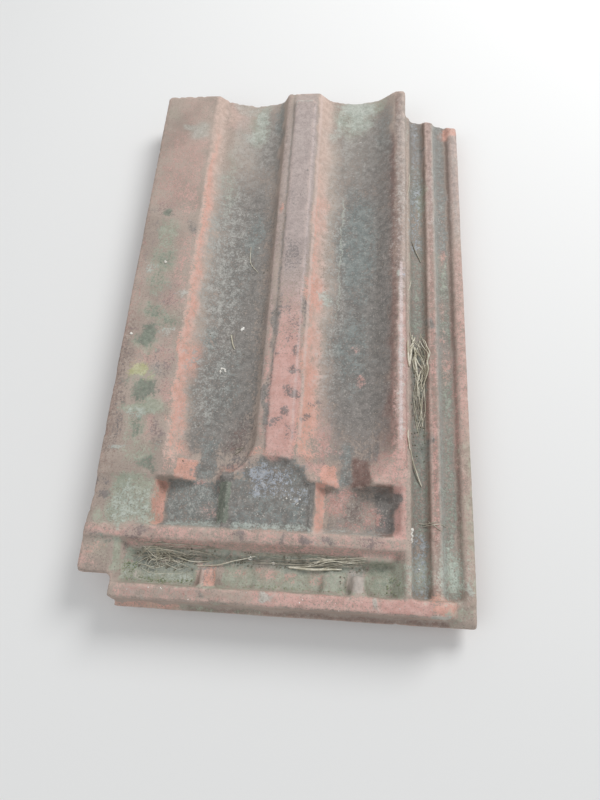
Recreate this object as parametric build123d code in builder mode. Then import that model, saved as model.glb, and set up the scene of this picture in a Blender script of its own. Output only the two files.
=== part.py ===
"""Pressed interlocking clay roof tile with two troughs, in millimetres.

X runs across the tile, from the cover flap to the side interlock.
Y runs along it, from the head (low Y) to the tail edge (high Y).
Z is up, with Z = 0 on the level floor that the tile lies on.
"""

import os
from math import sqrt

from build123d import *

# Lengths along the tile, from the head edge to the tail edge
length = 430
head_lip = 3.5
head_rib_front_run = 1.5
head_rib_top = 9
head_rib_back_run = 1.5
head_channel_floor = 18.5
ledge_tread = 4
ledge_face_run = 1
ridge_near_run = 5
ridge_top = 7.5
platform_length = 33.5
neck_length = 3
cove_length = 27
flap_neck_length = 12
flap_cove_length = 15

# Widths across the tile, from the flap edge to the interlock edge
ear_flare = 2
flap_width = 47
left_trough_width = 62.5
rib_width = 26.5
right_trough_width = 66
crest_width = 8
lip_width = 3.5
groove_wall_run = 2
groove_foot_radius = 1.5
groove_crown_radius = 1.8
inner_groove_width = 9.5
groove_ridge_width = 6.5
outer_groove_width = 8.5
edge_rib_run = 4
edge_rib_width = 6

# Heights and depths
lug_drop = 8
wall = 12
trough_depth = 12
lip_drop = 10
platform_drop = 1.5
ridge_drop = 0.5
ear_drop = 2.5
head_rib_drop = 2
block_drop = 4
ledge_rise = 3.5
head_base = 10
head_lip_height = 5.5
corner_drop = 1.5
interlock_gap = 1
groove_depth = 5.5
groove_base = 9.5
panel_rise = 2.2

# Walls of the troughs: the plan width and the drop of each straight slope
flap_slope_run = 8
flap_slope_drop = 6.5
rib_left_run = 5.5
rib_left_drop = 9
rib_right_run = 9.5
rib_right_drop = 8.5
crest_slope_run = 14
crest_slope_drop = 9.2
foot_radius = 7
brink_radius = 3.5
edge_radius = 3

# Necks between the shoulders, where each trough narrows at its head end
left_neck_offset = 8
left_neck_top = 33
left_neck_flap_run = 14
left_neck_rib_run = 6
right_neck_offset = 18
right_neck_top = 34
right_neck_rib_run = 11
right_neck_crest_run = 13
neck_drop = 10.5
neck_foot_radius = 2
neck_brink_radius = 1.5

# Raised panel on the rib and the hollow in the rib's head end
panel_left_ledge = 6
panel_right_ledge = 1.5
panel_tail_gap = 9
panel_head_lap = 6
panel_corner = 5
panel_draft = 30
hollow_radius = 28.8
hollow_set_back = 13
hollow_shift = 3

# Ear, notch, pockets, strip, step and stops at the head end
notch_width = 24
notch_length = 19.5
notch_radius = 4.5
channel_left_slope = 11
channel_right_slope = 8
crown_radius = 1.5
corner_flat_width = 12
head_rib_end_run = 5
left_platform_width = 40.5
left_pocket_width = 39
left_pocket_run = 5.5
pocket_run = 8
block_width = 55
right_pocket_width = 44
pocket_tail_run = 3
pocket_head_run = 4.5
pocket_corner = 3
strip_width = 3
strip_lead = 11
step_width = 23
step_height = 7
stop_width = 12
small_stop_width = 11
stop_length = 14
stop_root = 2
stop_height = 7
left_stop_shift = 6
right_stop_shift = 12
low_pad_width = 17
low_pad_height = 2
right_pad_width = 15
right_pad_shift = 4
pad_height = 3.5
stop_corner = 3
stop_rounding = 1
stop_draft = 14

# Underside: hollows, ribs that enter the neighbour's grooves, hook and lugs
hollow_slope_run = 10
rib_hollow_top = 12
crest_hollow_top = 3
flap_hollow_inset = 9
hollow_draft = 1
crest_wall = 6
flap_rib_width = 6
flap_rib_clearance = 1.5
hook_width = 12
hook_set_back = 50
hook_draft = 8
batten_lug_width = 34
batten_lug_length = 14
batten_lug_set_back = 23
lug_draft = 8
tail_cut_back = 15
tail_cut_slant = 12
tail_bevel = 35
tail_bevel_height = 4

# Heights above the floor that follow from the depths
trough_under = lug_drop
trough_floor = trough_under + wall
crest = trough_floor + trough_depth
flap_under = crest - wall
lip_top = crest - lip_drop
platform = crest - platform_drop
ridge_crown = crest - ridge_drop
ear_top = crest - ear_drop
head_rib_crown = crest - head_rib_drop
block_top = crest - block_drop
head_under = trough_floor - head_base
groove_crown = flap_under - interlock_gap
groove_floor = groove_crown - groove_depth
groove_under = groove_floor - groove_base
corner_top = groove_crown - corner_drop

# Stations across the tile
interlock_width = (lip_width + 3 * groove_wall_run + inner_groove_width + groove_ridge_width
                   + outer_groove_width + edge_rib_run + edge_rib_width)
width = (ear_flare + flap_width + left_trough_width + rib_width + right_trough_width
         + crest_width + interlock_width)
left_edge = -width / 2
right_edge = width / 2
flap_edge = left_edge + ear_flare
flap_inner = flap_edge + flap_width
rib_left = flap_inner + left_trough_width
rib_right = rib_left + rib_width
crest_left = rib_right + right_trough_width
crest_right = crest_left + crest_width
lip_right = crest_right + lip_width
pitch = crest_right - flap_edge
left_middle = (flap_inner + rib_left) / 2
rib_middle = (rib_left + rib_right) / 2
right_middle = (rib_right + crest_left) / 2
flap_hollow_right = flap_inner - flap_hollow_inset
rib_hollow_left = rib_middle - rib_hollow_top / 2
rib_hollow_right = rib_middle + rib_hollow_top / 2
crest_hollow_right = crest_right - crest_wall - hollow_draft
crest_hollow_left = crest_hollow_right - crest_hollow_top
notch_inner = left_edge + notch_width
left_pocket_left = flap_edge + left_platform_width + left_pocket_run
left_pocket_right = left_pocket_left + left_pocket_width
right_pocket_left = left_pocket_right + block_width + 2 * pocket_run
right_pocket_right = right_pocket_left + right_pocket_width

# Stations along the tile
head_edge = -length / 2
tail_edge = length / 2
head_rib_foot = head_edge + head_lip
head_rib_near = head_rib_foot + head_rib_front_run
head_rib_far = head_rib_near + head_rib_top
channel_near = head_rib_far + head_rib_back_run
channel_far = channel_near + head_channel_floor
ledge_far = channel_far + ledge_tread
ridge_near = ledge_far + ridge_near_run
ridge_far = ridge_near + ridge_top
shoulder = ridge_far + platform_length
cove_head = shoulder + neck_length
cove_tail = cove_head + cove_length
notch_head = head_edge + notch_length


# How near counts as touching, and how far a cutting shape reaches past what it cuts
touch = 0.01
overrun = 1


def closed_share(y, start, run):
    """Return how far a rounded cove has closed at y, from 0 at its start to 1."""
    part_way = min(max((start - y) / run, 0), 1)
    return 1 - sqrt(1 - part_way**2)


def groove_section(left, right, left_run, right_run, left_drop, right_drop, foot, brink):
    """Return a groove's section: round brinks, straight slopes and a dished floor."""
    left_foot = (left + left_run, crest - left_drop)
    right_foot = (right - right_run, crest - right_drop)
    floor_middle = ((left_foot[0] + right_foot[0]) / 2, trough_floor)
    outside = 2 * brink
    with BuildSketch() as section:
        with BuildLine():
            Polyline(
                left_foot,
                (left, crest),
                (left - outside, crest),
                (left - outside, crest + outside),
                (right + outside, crest + outside),
                (right + outside, crest),
                (right, crest),
                right_foot,
            )
            ThreePointArc(right_foot, floor_middle, left_foot)
        make_face()
        fillet([v for v in section.vertices() if v.Y < crest - touch], foot)
        brinks = [v for v in section.vertices()
                  if abs(v.Y - crest) < touch and left - touch < v.X < right + touch]
        fillet(brinks, brink)
    return section.sketch


# Body of flap, troughs, rib and crest, from the shoulder to the tail edge
with BuildPart() as trough_body:
    with BuildSketch(Plane.XZ.offset(-tail_edge)) as body_section:
        with BuildLine():
            Polyline(
                (flap_edge, flap_under),
                (flap_edge, crest),
                (crest_right, crest),
                (crest_right, groove_under),
                (crest_hollow_right + hollow_draft, groove_under),
                (crest_hollow_right, flap_under),
                (crest_hollow_left, flap_under),
                (crest_hollow_left - hollow_slope_run, trough_under),
                (rib_hollow_right + hollow_slope_run, trough_under),
                (rib_hollow_right, flap_under),
                (rib_hollow_left, flap_under),
                (rib_hollow_left - hollow_slope_run, trough_under),
                (flap_hollow_right + hollow_slope_run, trough_under),
                (flap_hollow_right, flap_under),
                close=True,
            )
        make_face()
        top_corners = [v for v in body_section.vertices() if abs(v.Y - crest) < touch]
        fillet(top_corners, edge_radius)
    extrude(amount=tail_edge - shoulder)

    # Each trough runs straight, then closes in a rounded cove on its narrow neck
    left_trough = (flap_inner, rib_left, flap_slope_run, rib_left_run,
                   flap_slope_drop, rib_left_drop, foot_radius, brink_radius)
    left_neck_left = flap_inner + left_neck_offset
    left_neck = (left_neck_left, left_neck_left + left_neck_top, left_neck_flap_run,
                 left_neck_rib_run, neck_drop, neck_drop, neck_foot_radius, neck_brink_radius)
    right_trough = (rib_right, crest_left, rib_right_run, crest_slope_run,
                    rib_right_drop, crest_slope_drop, foot_radius, brink_radius)
    right_neck_left = rib_right + right_neck_offset
    right_neck = (right_neck_left, right_neck_left + right_neck_top, right_neck_rib_run,
                  right_neck_crest_run, neck_drop, neck_drop, neck_foot_radius, neck_brink_radius)
    flap_cove_tail = shoulder + flap_neck_length + flap_cove_length
    for trough, neck, left_start, left_length in (
        (left_trough, left_neck, flap_cove_tail, flap_cove_length),
        (right_trough, right_neck, cove_tail, cove_length),
    ):
        with BuildSketch(Plane.XZ.offset(-tail_edge)):
            add(groove_section(*trough))
        extrude(amount=tail_edge - cove_tail, mode=Mode.SUBTRACT)
        for part_way in (0, 0.25, 0.4, 0.52, 0.62, 0.74, 0.86, 0.95, 1):
            y = cove_tail - part_way * cove_length
            left_share = closed_share(y, left_start, left_length)
            right_share = closed_share(y, cove_tail, cove_length)
            shares = [left_share, right_share] * 3 + [right_share] * 2
            shape = [wide + (narrow - wide) * share
                     for wide, narrow, share in zip(trough, neck, shares)]
            with BuildSketch(Plane.XZ.offset(-y)):
                add(groove_section(*shape))
        loft(ruled=True, mode=Mode.SUBTRACT)
        with BuildSketch(Plane.XZ.offset(-cove_head)):
            add(groove_section(*neck))
        extrude(amount=neck_length, mode=Mode.SUBTRACT)

    # Raised panel on the rib, with drafted sides and round tail corners
    panel_left = rib_left + panel_left_ledge
    panel_right = rib_right - panel_right_ledge
    panel_tail = tail_edge - panel_tail_gap
    arch_top = shoulder - hollow_set_back + hollow_radius
    panel_head = arch_top - panel_head_lap
    with BuildSketch(Plane.XY.offset(crest)) as panel_plan:
        with Locations(((panel_left + panel_right) / 2, (panel_tail + panel_head) / 2)):
            Rectangle(panel_right - panel_left, panel_tail - panel_head)
        fillet(panel_plan.vertices(), panel_corner)
    extrude(amount=panel_rise, taper=panel_draft)

    # Ribs under the flap that run in the neighbour's grooves
    inner_groove_middle = lip_right + groove_wall_run + inner_groove_width / 2
    outer_groove_left = lip_right + 3 * groove_wall_run + inner_groove_width + groove_ridge_width
    outer_groove_middle = outer_groove_left + outer_groove_width / 2
    with BuildSketch(Plane.XY.offset(groove_floor + flap_rib_clearance)):
        for middle in (inner_groove_middle - pitch, outer_groove_middle - pitch):
            with Locations((middle, (tail_edge + shoulder) / 2)):
                Rectangle(flap_rib_width, tail_edge - shoulder)
    extrude(until=Until.NEXT)

# Arched hollow in the rib's head end: a slope that falls from the arch to the block
with BuildPart() as arch_hollow:
    with BuildSketch(Plane.XY.offset(trough_floor)):
        with Locations((rib_middle - hollow_shift, shoulder - hollow_set_back)):
            Circle(hollow_radius)
    extrude(amount=2 * trough_depth)
    with BuildSketch(Plane.YZ.offset(rib_middle - hollow_shift - hollow_radius)):
        with BuildLine():
            Polyline(
                (shoulder, block_top),
                (arch_top, crest),
                (arch_top, crest + trough_depth),
                (shoulder, crest + trough_depth),
                close=True,
            )
        make_face()
    extrude(amount=2 * hollow_radius, mode=Mode.INTERSECT)

# Side interlock: a lip, two grooves with a ridge between them and an edge rib
with BuildPart() as interlock:
    ridge_left = lip_right + 2 * groove_wall_run + inner_groove_width
    ridge_right = ridge_left + groove_ridge_width
    with BuildSketch(Plane.XZ.offset(-tail_edge)) as interlock_section:
        with BuildLine():
            Polyline(
                (crest_right, groove_under),
                (crest_right, lip_top),
                (lip_right, lip_top),
                (lip_right + groove_wall_run, groove_floor),
                (ridge_left - groove_wall_run, groove_floor),
                (ridge_left, groove_crown),
                (ridge_right, groove_crown),
                (ridge_right + groove_wall_run, groove_floor),
                (right_edge - edge_rib_width - edge_rib_run, groove_floor),
                (right_edge - edge_rib_width, groove_crown),
                (right_edge, groove_crown),
                (right_edge, groove_under),
                close=True,
            )
        make_face()
        feet = [v for v in interlock_section.vertices() if abs(v.Y - groove_floor) < touch]
        fillet(feet, groove_foot_radius)
        crowns = [v for v in interlock_section.vertices() if abs(v.Y - groove_crown) < touch]
        fillet(crowns, groove_crown_radius)
    extrude(amount=tail_edge - head_rib_far)

    # Oblique end towards the tail: cut straight, then bevelled above the groove floors
    cut_left = tail_edge - tail_cut_back
    cut_right = cut_left - tail_cut_slant
    end_corners = (
        (crest_right, cut_left),
        (crest_right, tail_edge + overrun),
        (right_edge + overrun, tail_edge + overrun),
        (right_edge + overrun, cut_right),
    )
    for height, bevel in ((groove_under, 0), (groove_crown - tail_bevel_height, -tail_bevel)):
        with BuildSketch(Plane.XY.offset(height)):
            with BuildLine():
                Polyline(*end_corners, close=True)
            make_face()
        extrude(amount=crest - height, taper=bevel, mode=Mode.SUBTRACT)

# Head end: base, platform, pockets, cross ridge, channel and outer rib
with BuildPart() as head_block:
    with BuildSketch(Plane.XY.offset(head_under)) as base_plan:
        with BuildLine():
            Polyline(
                (notch_inner, head_rib_foot),
                (crest_right, head_rib_foot),
                (crest_right, ridge_far),
                (notch_inner, ridge_far),
                close=True,
            )
        make_face()
    extrude(amount=trough_floor - head_under)

    # Platform over hollows that carry on from the flap and the rib
    with BuildSketch(Plane.XZ.offset(-shoulder)) as platform_section:
        with BuildLine():
            Polyline(
                (flap_edge, flap_under),
                (flap_edge, platform),
                (crest_right, platform),
                (crest_right, groove_under),
                (crest_right - crest_wall, groove_under),
                (crest_right - crest_wall, trough_under),
                (rib_hollow_right + hollow_slope_run, trough_under),
                (rib_hollow_right, flap_under),
                (rib_hollow_left, flap_under),
                (rib_hollow_left - hollow_slope_run, trough_under),
                (flap_hollow_right + hollow_slope_run, trough_under),
                (flap_hollow_right, flap_under),
                close=True,
            )
        make_face()
        fillet(platform_section.vertices().sort_by_distance((flap_edge, platform))[0], edge_radius)
    extrude(amount=shoulder - ridge_far)

    # Lower block between the two pockets
    block_left = left_pocket_right + pocket_run
    with BuildSketch(Plane.XY.offset(block_top)):
        with Locations((block_left + block_width / 2, (ridge_far + shoulder) / 2)):
            Rectangle(block_width, shoulder - ridge_far)
    extrude(amount=crest - block_top, mode=Mode.SUBTRACT)

    # Ear beside the notch, flared towards the left edge
    with BuildSketch(Plane.XY.offset(flap_under)) as ear_plan:
        with BuildLine():
            Polyline(
                (notch_inner, notch_head),
                (left_edge, notch_head),
                (left_edge, ridge_far),
                (flap_edge, (ridge_far + shoulder) / 2),
                (notch_inner, ridge_far),
                close=True,
            )
        make_face()
    extrude(amount=ear_top - flap_under)

    # Cross ridge with its ledge
    with BuildSketch(Plane.YZ.offset(flap_edge)) as ridge_section:
        with BuildLine():
            Polyline(
                (channel_far, trough_floor),
                (channel_far + ledge_face_run, trough_floor + ledge_rise),
                (ledge_far, trough_floor + ledge_rise),
                (ridge_near, ridge_crown),
                (ridge_far, ridge_crown),
                (ridge_far, trough_floor),
                close=True,
            )
        make_face()
        fillet(ridge_section.vertices().sort_by_distance((ridge_near, ridge_crown))[0], crown_radius)
    extrude(amount=crest_right - flap_edge)

    # Two pockets with sloping walls
    pocket_tail = shoulder - pocket_tail_run
    pocket_head = ridge_far + pocket_head_run
    for floor_left, floor_right, top_left in (
        (left_pocket_left, left_pocket_right, left_pocket_left - left_pocket_run),
        (right_pocket_left, right_pocket_right, right_pocket_left - pocket_run),
    ):
        top_right = floor_right + pocket_run
        with BuildSketch(Plane.XY.offset(trough_floor)) as pocket_floor:
            with Locations(((floor_left + floor_right) / 2, (pocket_head + pocket_tail) / 2)):
                Rectangle(floor_right - floor_left, pocket_tail - pocket_head)
            fillet(pocket_floor.vertices(), pocket_corner)
        with BuildSketch(Plane.XY.offset(crest)) as pocket_mouth:
            with Locations(((top_left + top_right) / 2, (ridge_far + shoulder) / 2)):
                Rectangle(top_right - top_left, shoulder - ridge_far)
            fillet(pocket_mouth.vertices(), pocket_corner)
        loft(mode=Mode.SUBTRACT)
    for neck in (left_neck, right_neck):
        with BuildSketch(Plane.XZ.offset(-shoulder)):
            add(groove_section(*neck))
        extrude(amount=pocket_tail_run + neck_foot_radius, mode=Mode.SUBTRACT)

    # Sloping ends of the head channel
    for foot, top_corner, low_corner in (
        (notch_inner + channel_left_slope, (notch_inner, ear_top), (notch_inner, trough_floor)),
        (crest_right - channel_right_slope, (crest_right, platform), (crest_right, trough_floor)),
    ):
        with BuildSketch(Plane.XZ.offset(-ridge_near)):
            with BuildLine():
                Polyline((foot, trough_floor), top_corner, low_corner, close=True)
            make_face()
        extrude(amount=ridge_near - head_rib_near)

    # Outer rib, its lip and the flat corner beyond its sloping right end
    corner_left = right_edge - corner_flat_width
    with BuildSketch(Plane.YZ.offset(notch_inner)) as rib_section:
        with BuildLine():
            Polyline(
                (head_rib_foot, head_under),
                (head_rib_foot, head_under + head_lip_height),
                (head_rib_near, head_rib_crown),
                (head_rib_far, head_rib_crown),
                (channel_near, trough_floor),
                (channel_near, head_under),
                close=True,
            )
        make_face()
        crowns = [v for v in rib_section.vertices() if abs(v.Y - head_rib_crown) < touch]
        fillet(crowns, crown_radius)
    extrude(amount=corner_left - notch_inner)
    with BuildSketch(Plane.XZ.offset(-channel_near)):
        with BuildLine():
            Polyline(
                (corner_left - head_rib_end_run, head_rib_crown),
                (corner_left, corner_top),
                (corner_left + overrun, crest),
                (corner_left - head_rib_end_run, crest),
                close=True,
            )
        make_face()
    extrude(amount=channel_near - head_edge, mode=Mode.SUBTRACT)
    with BuildSketch(Plane.XY.offset(head_under)):
        with Locations(((corner_left + right_edge) / 2, (head_rib_foot + channel_near) / 2)):
            Rectangle(corner_flat_width, channel_near - head_rib_foot)
    extrude(amount=corner_top - head_under)
    with BuildSketch(Plane.XY.offset(head_under)):
        with Locations(((notch_inner + right_edge) / 2, head_edge + head_lip / 2)):
            Rectangle(right_edge - notch_inner, head_lip)
    extrude(amount=head_lip_height)

    # Strip that widens the crest beside the pocket and the head channel
    with BuildSketch(Plane.XY.offset(lip_top)):
        with Locations((crest_right + strip_width / 2, (head_rib_far + shoulder + strip_lead) / 2)):
            Rectangle(strip_width, shoulder + strip_lead - head_rib_far)
    extrude(amount=platform - lip_top)

# Stops in the head channel, against the outer rib, and a step at the ridge's right end
with BuildPart() as stops:
    stop_y = head_rib_far + (stop_length - stop_root) / 2
    for stop_x, width_of_stop, height_of_stop in (
        (left_middle + left_stop_shift, stop_width, stop_height),
        (rib_middle, low_pad_width, low_pad_height),
        (right_middle - right_pad_shift, right_pad_width, pad_height),
        (right_middle + right_stop_shift, small_stop_width, stop_height),
    ):
        with BuildSketch(Plane.XY.offset(trough_floor)) as stop_plan:
            with Locations((stop_x, stop_y)):
                Rectangle(width_of_stop, stop_length + stop_root)
            fillet(stop_plan.vertices(), stop_corner)
        extrude(amount=height_of_stop, taper=stop_draft)
    with BuildSketch(Plane.XY.offset(trough_floor)) as step_plan:
        step_x = right_pocket_right + pocket_run / 2 - step_width / 2
        with Locations((step_x, (channel_far + ridge_near) / 2)):
            Rectangle(step_width, ridge_near - channel_far)
        fillet(step_plan.vertices(), stop_corner)
    extrude(amount=step_height, taper=stop_draft)
    tops = stops.faces().filter_by(Plane.XY).filter_by(lambda face: face.center().Z > trough_floor)
    fillet(tops.edges(), stop_rounding)

# The whole tile, pressed in one piece
with BuildPart() as roof_tile:
    add(trough_body.part)
    add(arch_hollow.part, mode=Mode.SUBTRACT)
    add(interlock.part)
    add(head_block.part)
    add(stops.part)

    # Hook rib under the tail, which closes the hollows of the rib and the crest
    hook_middle = tail_edge - hook_set_back - hook_width / 2
    hook_top = trough_under + wall / 2
    with BuildSketch(Plane.XY.offset(hook_top)):
        with Locations(((flap_inner + crest_right) / 2, hook_middle)):
            Rectangle(crest_right - flap_inner, hook_width)
    extrude(amount=-hook_top, taper=hook_draft)
    with BuildSketch(Plane.XY.offset(hook_top)):
        for fill_left, fill_right in (
            (rib_hollow_left - hollow_slope_run, rib_hollow_right + hollow_slope_run),
            (crest_hollow_left - hollow_slope_run, crest_hollow_right + hollow_draft),
        ):
            with Locations(((fill_left + fill_right) / 2, hook_middle)):
                Rectangle(fill_right - fill_left, hook_width)
    extrude(amount=flap_under - hook_top)

    # Batten lugs under the head
    with BuildSketch(Plane.XY.offset(head_under)):
        for lug_x in (left_middle, right_middle):
            with Locations((lug_x, head_edge + batten_lug_set_back + batten_lug_length / 2)):
                Rectangle(batten_lug_width, batten_lug_length)
    extrude(amount=-head_under, taper=lug_draft)

    # Rounded inner corner of the notch
    notch_corner = (notch_inner, notch_head, ear_top)
    fillet(roof_tile.edges().filter_by(Axis.Z).sort_by_distance(notch_corner)[0], notch_radius)

roof_tile.part.label = "roof_tile"
os.makedirs("parts", exist_ok=True)
export_step(roof_tile.part, "parts/roof_tile.step")
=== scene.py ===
"""Looks of a weathered, pressed clay roof tile: worn edges, lichen film, moss, straw and grit."""

import logging
import math
import random
from dataclasses import dataclass
from enum import Enum

import bmesh
import bpy
import numpy as np
from mathutils import Matrix, Vector, noise

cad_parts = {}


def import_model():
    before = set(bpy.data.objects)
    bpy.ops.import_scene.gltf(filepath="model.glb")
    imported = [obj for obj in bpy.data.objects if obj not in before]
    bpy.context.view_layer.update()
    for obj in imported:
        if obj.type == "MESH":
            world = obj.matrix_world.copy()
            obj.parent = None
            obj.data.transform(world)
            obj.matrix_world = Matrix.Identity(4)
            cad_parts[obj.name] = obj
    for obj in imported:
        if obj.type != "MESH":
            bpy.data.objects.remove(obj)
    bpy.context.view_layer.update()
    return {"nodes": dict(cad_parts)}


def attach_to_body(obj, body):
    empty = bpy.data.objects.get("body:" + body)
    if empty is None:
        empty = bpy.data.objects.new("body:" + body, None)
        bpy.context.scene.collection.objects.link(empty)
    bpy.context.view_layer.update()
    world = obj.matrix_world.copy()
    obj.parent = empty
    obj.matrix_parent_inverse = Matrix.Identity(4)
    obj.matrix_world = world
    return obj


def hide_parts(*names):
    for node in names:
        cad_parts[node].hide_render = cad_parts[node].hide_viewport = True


logging.basicConfig(level=logging.INFO, format="%(message)s")
LOG = logging.getLogger("roof_tile_scene")

Material = bpy.types.Material
Mesh = bpy.types.Mesh
Object = bpy.types.Object
Socket = bpy.types.NodeSocket
Pair = tuple[float, float]
Place = tuple[float, float, float]

MM = 0.001
TINY = 1e-9
ROOT = "root"

# Marks are in millimetres on the tile. One that ends at TAIL runs out over the tail edge. One that is
# bounded by BRINK keeps to the troughs, below the height at which their walls turn over, and fades
# over LEVEL_SOFT to both sides of it.
TAIL = 217
BRINK = 30.8
ANYWHERE = 99
LEVEL_SOFT = 0.8


def smooth_step(low: float, high: float, value: np.ndarray) -> np.ndarray:
    """Ease from 0 at low to 1 at high, whichever of the two is larger."""
    part = np.clip((value - low) / (high - low), 0.0, 1.0)
    return part * part * (3.0 - 2.0 * part)


def between(low: float, high: float, soft: float, value: np.ndarray) -> np.ndarray:
    """Ease in at low and out again at high, each over twice the soft width."""
    return smooth_step(low - soft, low + soft, value) * smooth_step(high + soft, high - soft, value)


@dataclass(frozen=True)
class Spots:
    """Places on the tile's surface, exact and with a ragged drift."""

    x: np.ndarray
    y: np.ndarray
    z: np.ndarray
    loose_x: np.ndarray
    loose_y: np.ndarray

    def drifted(self, share: float) -> tuple[np.ndarray, np.ndarray]:
        """Take the places across and along the tile with a share of their drift, from 0 to 1."""
        return self.x + share * (self.loose_x - self.x), self.y + share * (self.loose_y - self.y)


@dataclass(frozen=True)
class Patch:
    """A soft oval stain, solid at its heart and gone past its rim."""

    x: float
    y: float
    across: float
    along: float
    strength: float = 1
    heart: float = 0.35
    rim: float = 1.45

    def cover(self, spots: Spots) -> np.ndarray:
        """Work out the stain's strength at each spot."""
        reach = np.hypot((spots.loose_x - self.x) / self.across, (spots.loose_y - self.y) / self.along)
        return self.strength * smooth_step(self.rim, self.heart, reach)


@dataclass(frozen=True)
class Plot:
    """A soft-edged rectangle."""

    left: float
    right: float
    near: float
    far: float
    strength: float = 1
    soft: float = 2
    drift: float = 0.3
    below: float = ANYWHERE

    def cover(self, spots: Spots) -> np.ndarray:
        """Work out the rectangle's strength at each spot.

        Args:
            spots: places on the tile.

        Returns:
            The strength at each spot.
        """
        x, y = spots.drifted(self.drift)
        inside = between(self.left, self.right, self.soft, x) * between(self.near, self.far, self.soft, y)
        low_enough = smooth_step(self.below + LEVEL_SOFT, self.below - LEVEL_SOFT, spots.z)
        return self.strength * inside * low_enough


@dataclass(frozen=True)
class Across:
    """A stain whose strength is given by its place across the tile, along one stretch of it."""

    near: float
    far: float
    places: tuple[float, ...]
    strengths: tuple[float, ...]
    soft: float = 6
    drift: float = 0.15
    below: float = ANYWHERE

    def cover(self, spots: Spots) -> np.ndarray:
        """Work out the stain's strength at each spot.

        Args:
            spots: places on the tile.

        Returns:
            The strength at each spot, 0 outside the stretch.
        """
        x, y = spots.drifted(self.drift)
        along = between(self.near, self.far, self.soft, y)
        along *= smooth_step(self.below + LEVEL_SOFT, self.below - LEVEL_SOFT, spots.z)
        return np.interp(x, self.places, self.strengths) * along


@dataclass(frozen=True)
class Layer:
    """One kind of stain on the clay: its colours, how ragged it lies and where."""

    name: str
    dark: str
    light: str
    marks: tuple[Patch | Plot | Across, ...]
    opacity: float = 0.85
    ragged: float = 1
    low: float = 0.18
    high: float = 0.82


@dataclass(frozen=True)
class Line:
    """A thin pale line along the tile: mostly a painted highlight along an edge, in two places a crack."""

    x: float
    half: float
    near: float
    far: float
    strength: float
    colour: str
    wander: float = 1


@dataclass(frozen=True)
class Nick:
    """A place where the clay has broken away."""

    x: float
    y: float
    across: float
    along: float
    depth: float


# Rose, peach, orange, mauve and bare are clay that stayed clean or was rubbed. Brown and umber are
# damp clay and also painted shade, on walls and faces that turn away from the light. Film, teal,
# dust and silt are what rain leaves behind, though a few film marks are painted shade. Spotting,
# mould, green, crust, bloom and yellow are moulds, algae and lichens, one mould mark is painted
# shade, and soil is earth.
# Painted shade: the marks on the troughs' right walls, the left sides of the ridges in the interlock, the
# slope beside the right neck, the strip beside the middle block, the right pocket's end and the head rib's
# front face darken faces that the light does not reach; the rest is dark brown clay.
BROWN_AND_SHADE = Layer("brown_and_shade", "#7b6a63", "#8f786f", opacity=0.93, marks=(
    Across(-135, 10, (-128, -120, -114, -107), (0.6, 0.5, 0.38, 0), 40, 0.6),
    Across(25, TAIL, (-128, -122, -118, -113), (0.4, 0.3, 0.15, 0), 6, 0.4),
    Across(-112, TAIL, (-30, -24, -18, -16), (0, 0.12, 0.3, 0)),
    Across(-115, 175, (56, 66, 74, 77.5), (0, 0.55, 0.85, 0), 20),
    Across(-112, 30, (60, 70, 77, 79), (0, 0.6, 1, 0), 20),
    Across(20, TAIL, (74, 76, 80, 83), (0, 0.75, 0.75, 0), 20),
    Across(-199, TAIL, (98, 99.5, 101.5, 102.5), (0, 0.55, 0.55, 0)),
    Across(-199, TAIL, (117, 118.5, 120.5, 122), (0, 0.6, 0.6, 0)),
    Across(-199, TAIL, (101, 103, 106, 108), (0, 0.6, 0.6, 0)),
    Across(-112, TAIL, (-18, -17, -14, -13), (0, 0.35, 0.3, 0)),
    Plot(47, 61, -133, -111, 1.1, 4, 0.5), Plot(64, 76, -164, -131, 1, 2, 0),
    Plot(-44, -30, -164, -118, 0.6, 3, 0.3, BRINK), Plot(-55, 112, -216, -211.5, 0.6, 2),
    Patch(-118, 198, 12, 24, 0.3), Patch(60, 120, 10, 34, 0.55), Patch(-100, 128, 22, 20, 0.3),
    Patch(-108, 150, 24, 80, 0.36), Patch(-98, 50, 18, 30, 0.25), Patch(-28, -92, 12, 26, 0.6),
    Patch(-30, -60, 12, 40, 0.35), Patch(-112, -182, 16, 10, 0.25), Patch(60, -108, 12, 8, 0.55),
    Patch(62, -60, 12, 40, 0.45),
))

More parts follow.
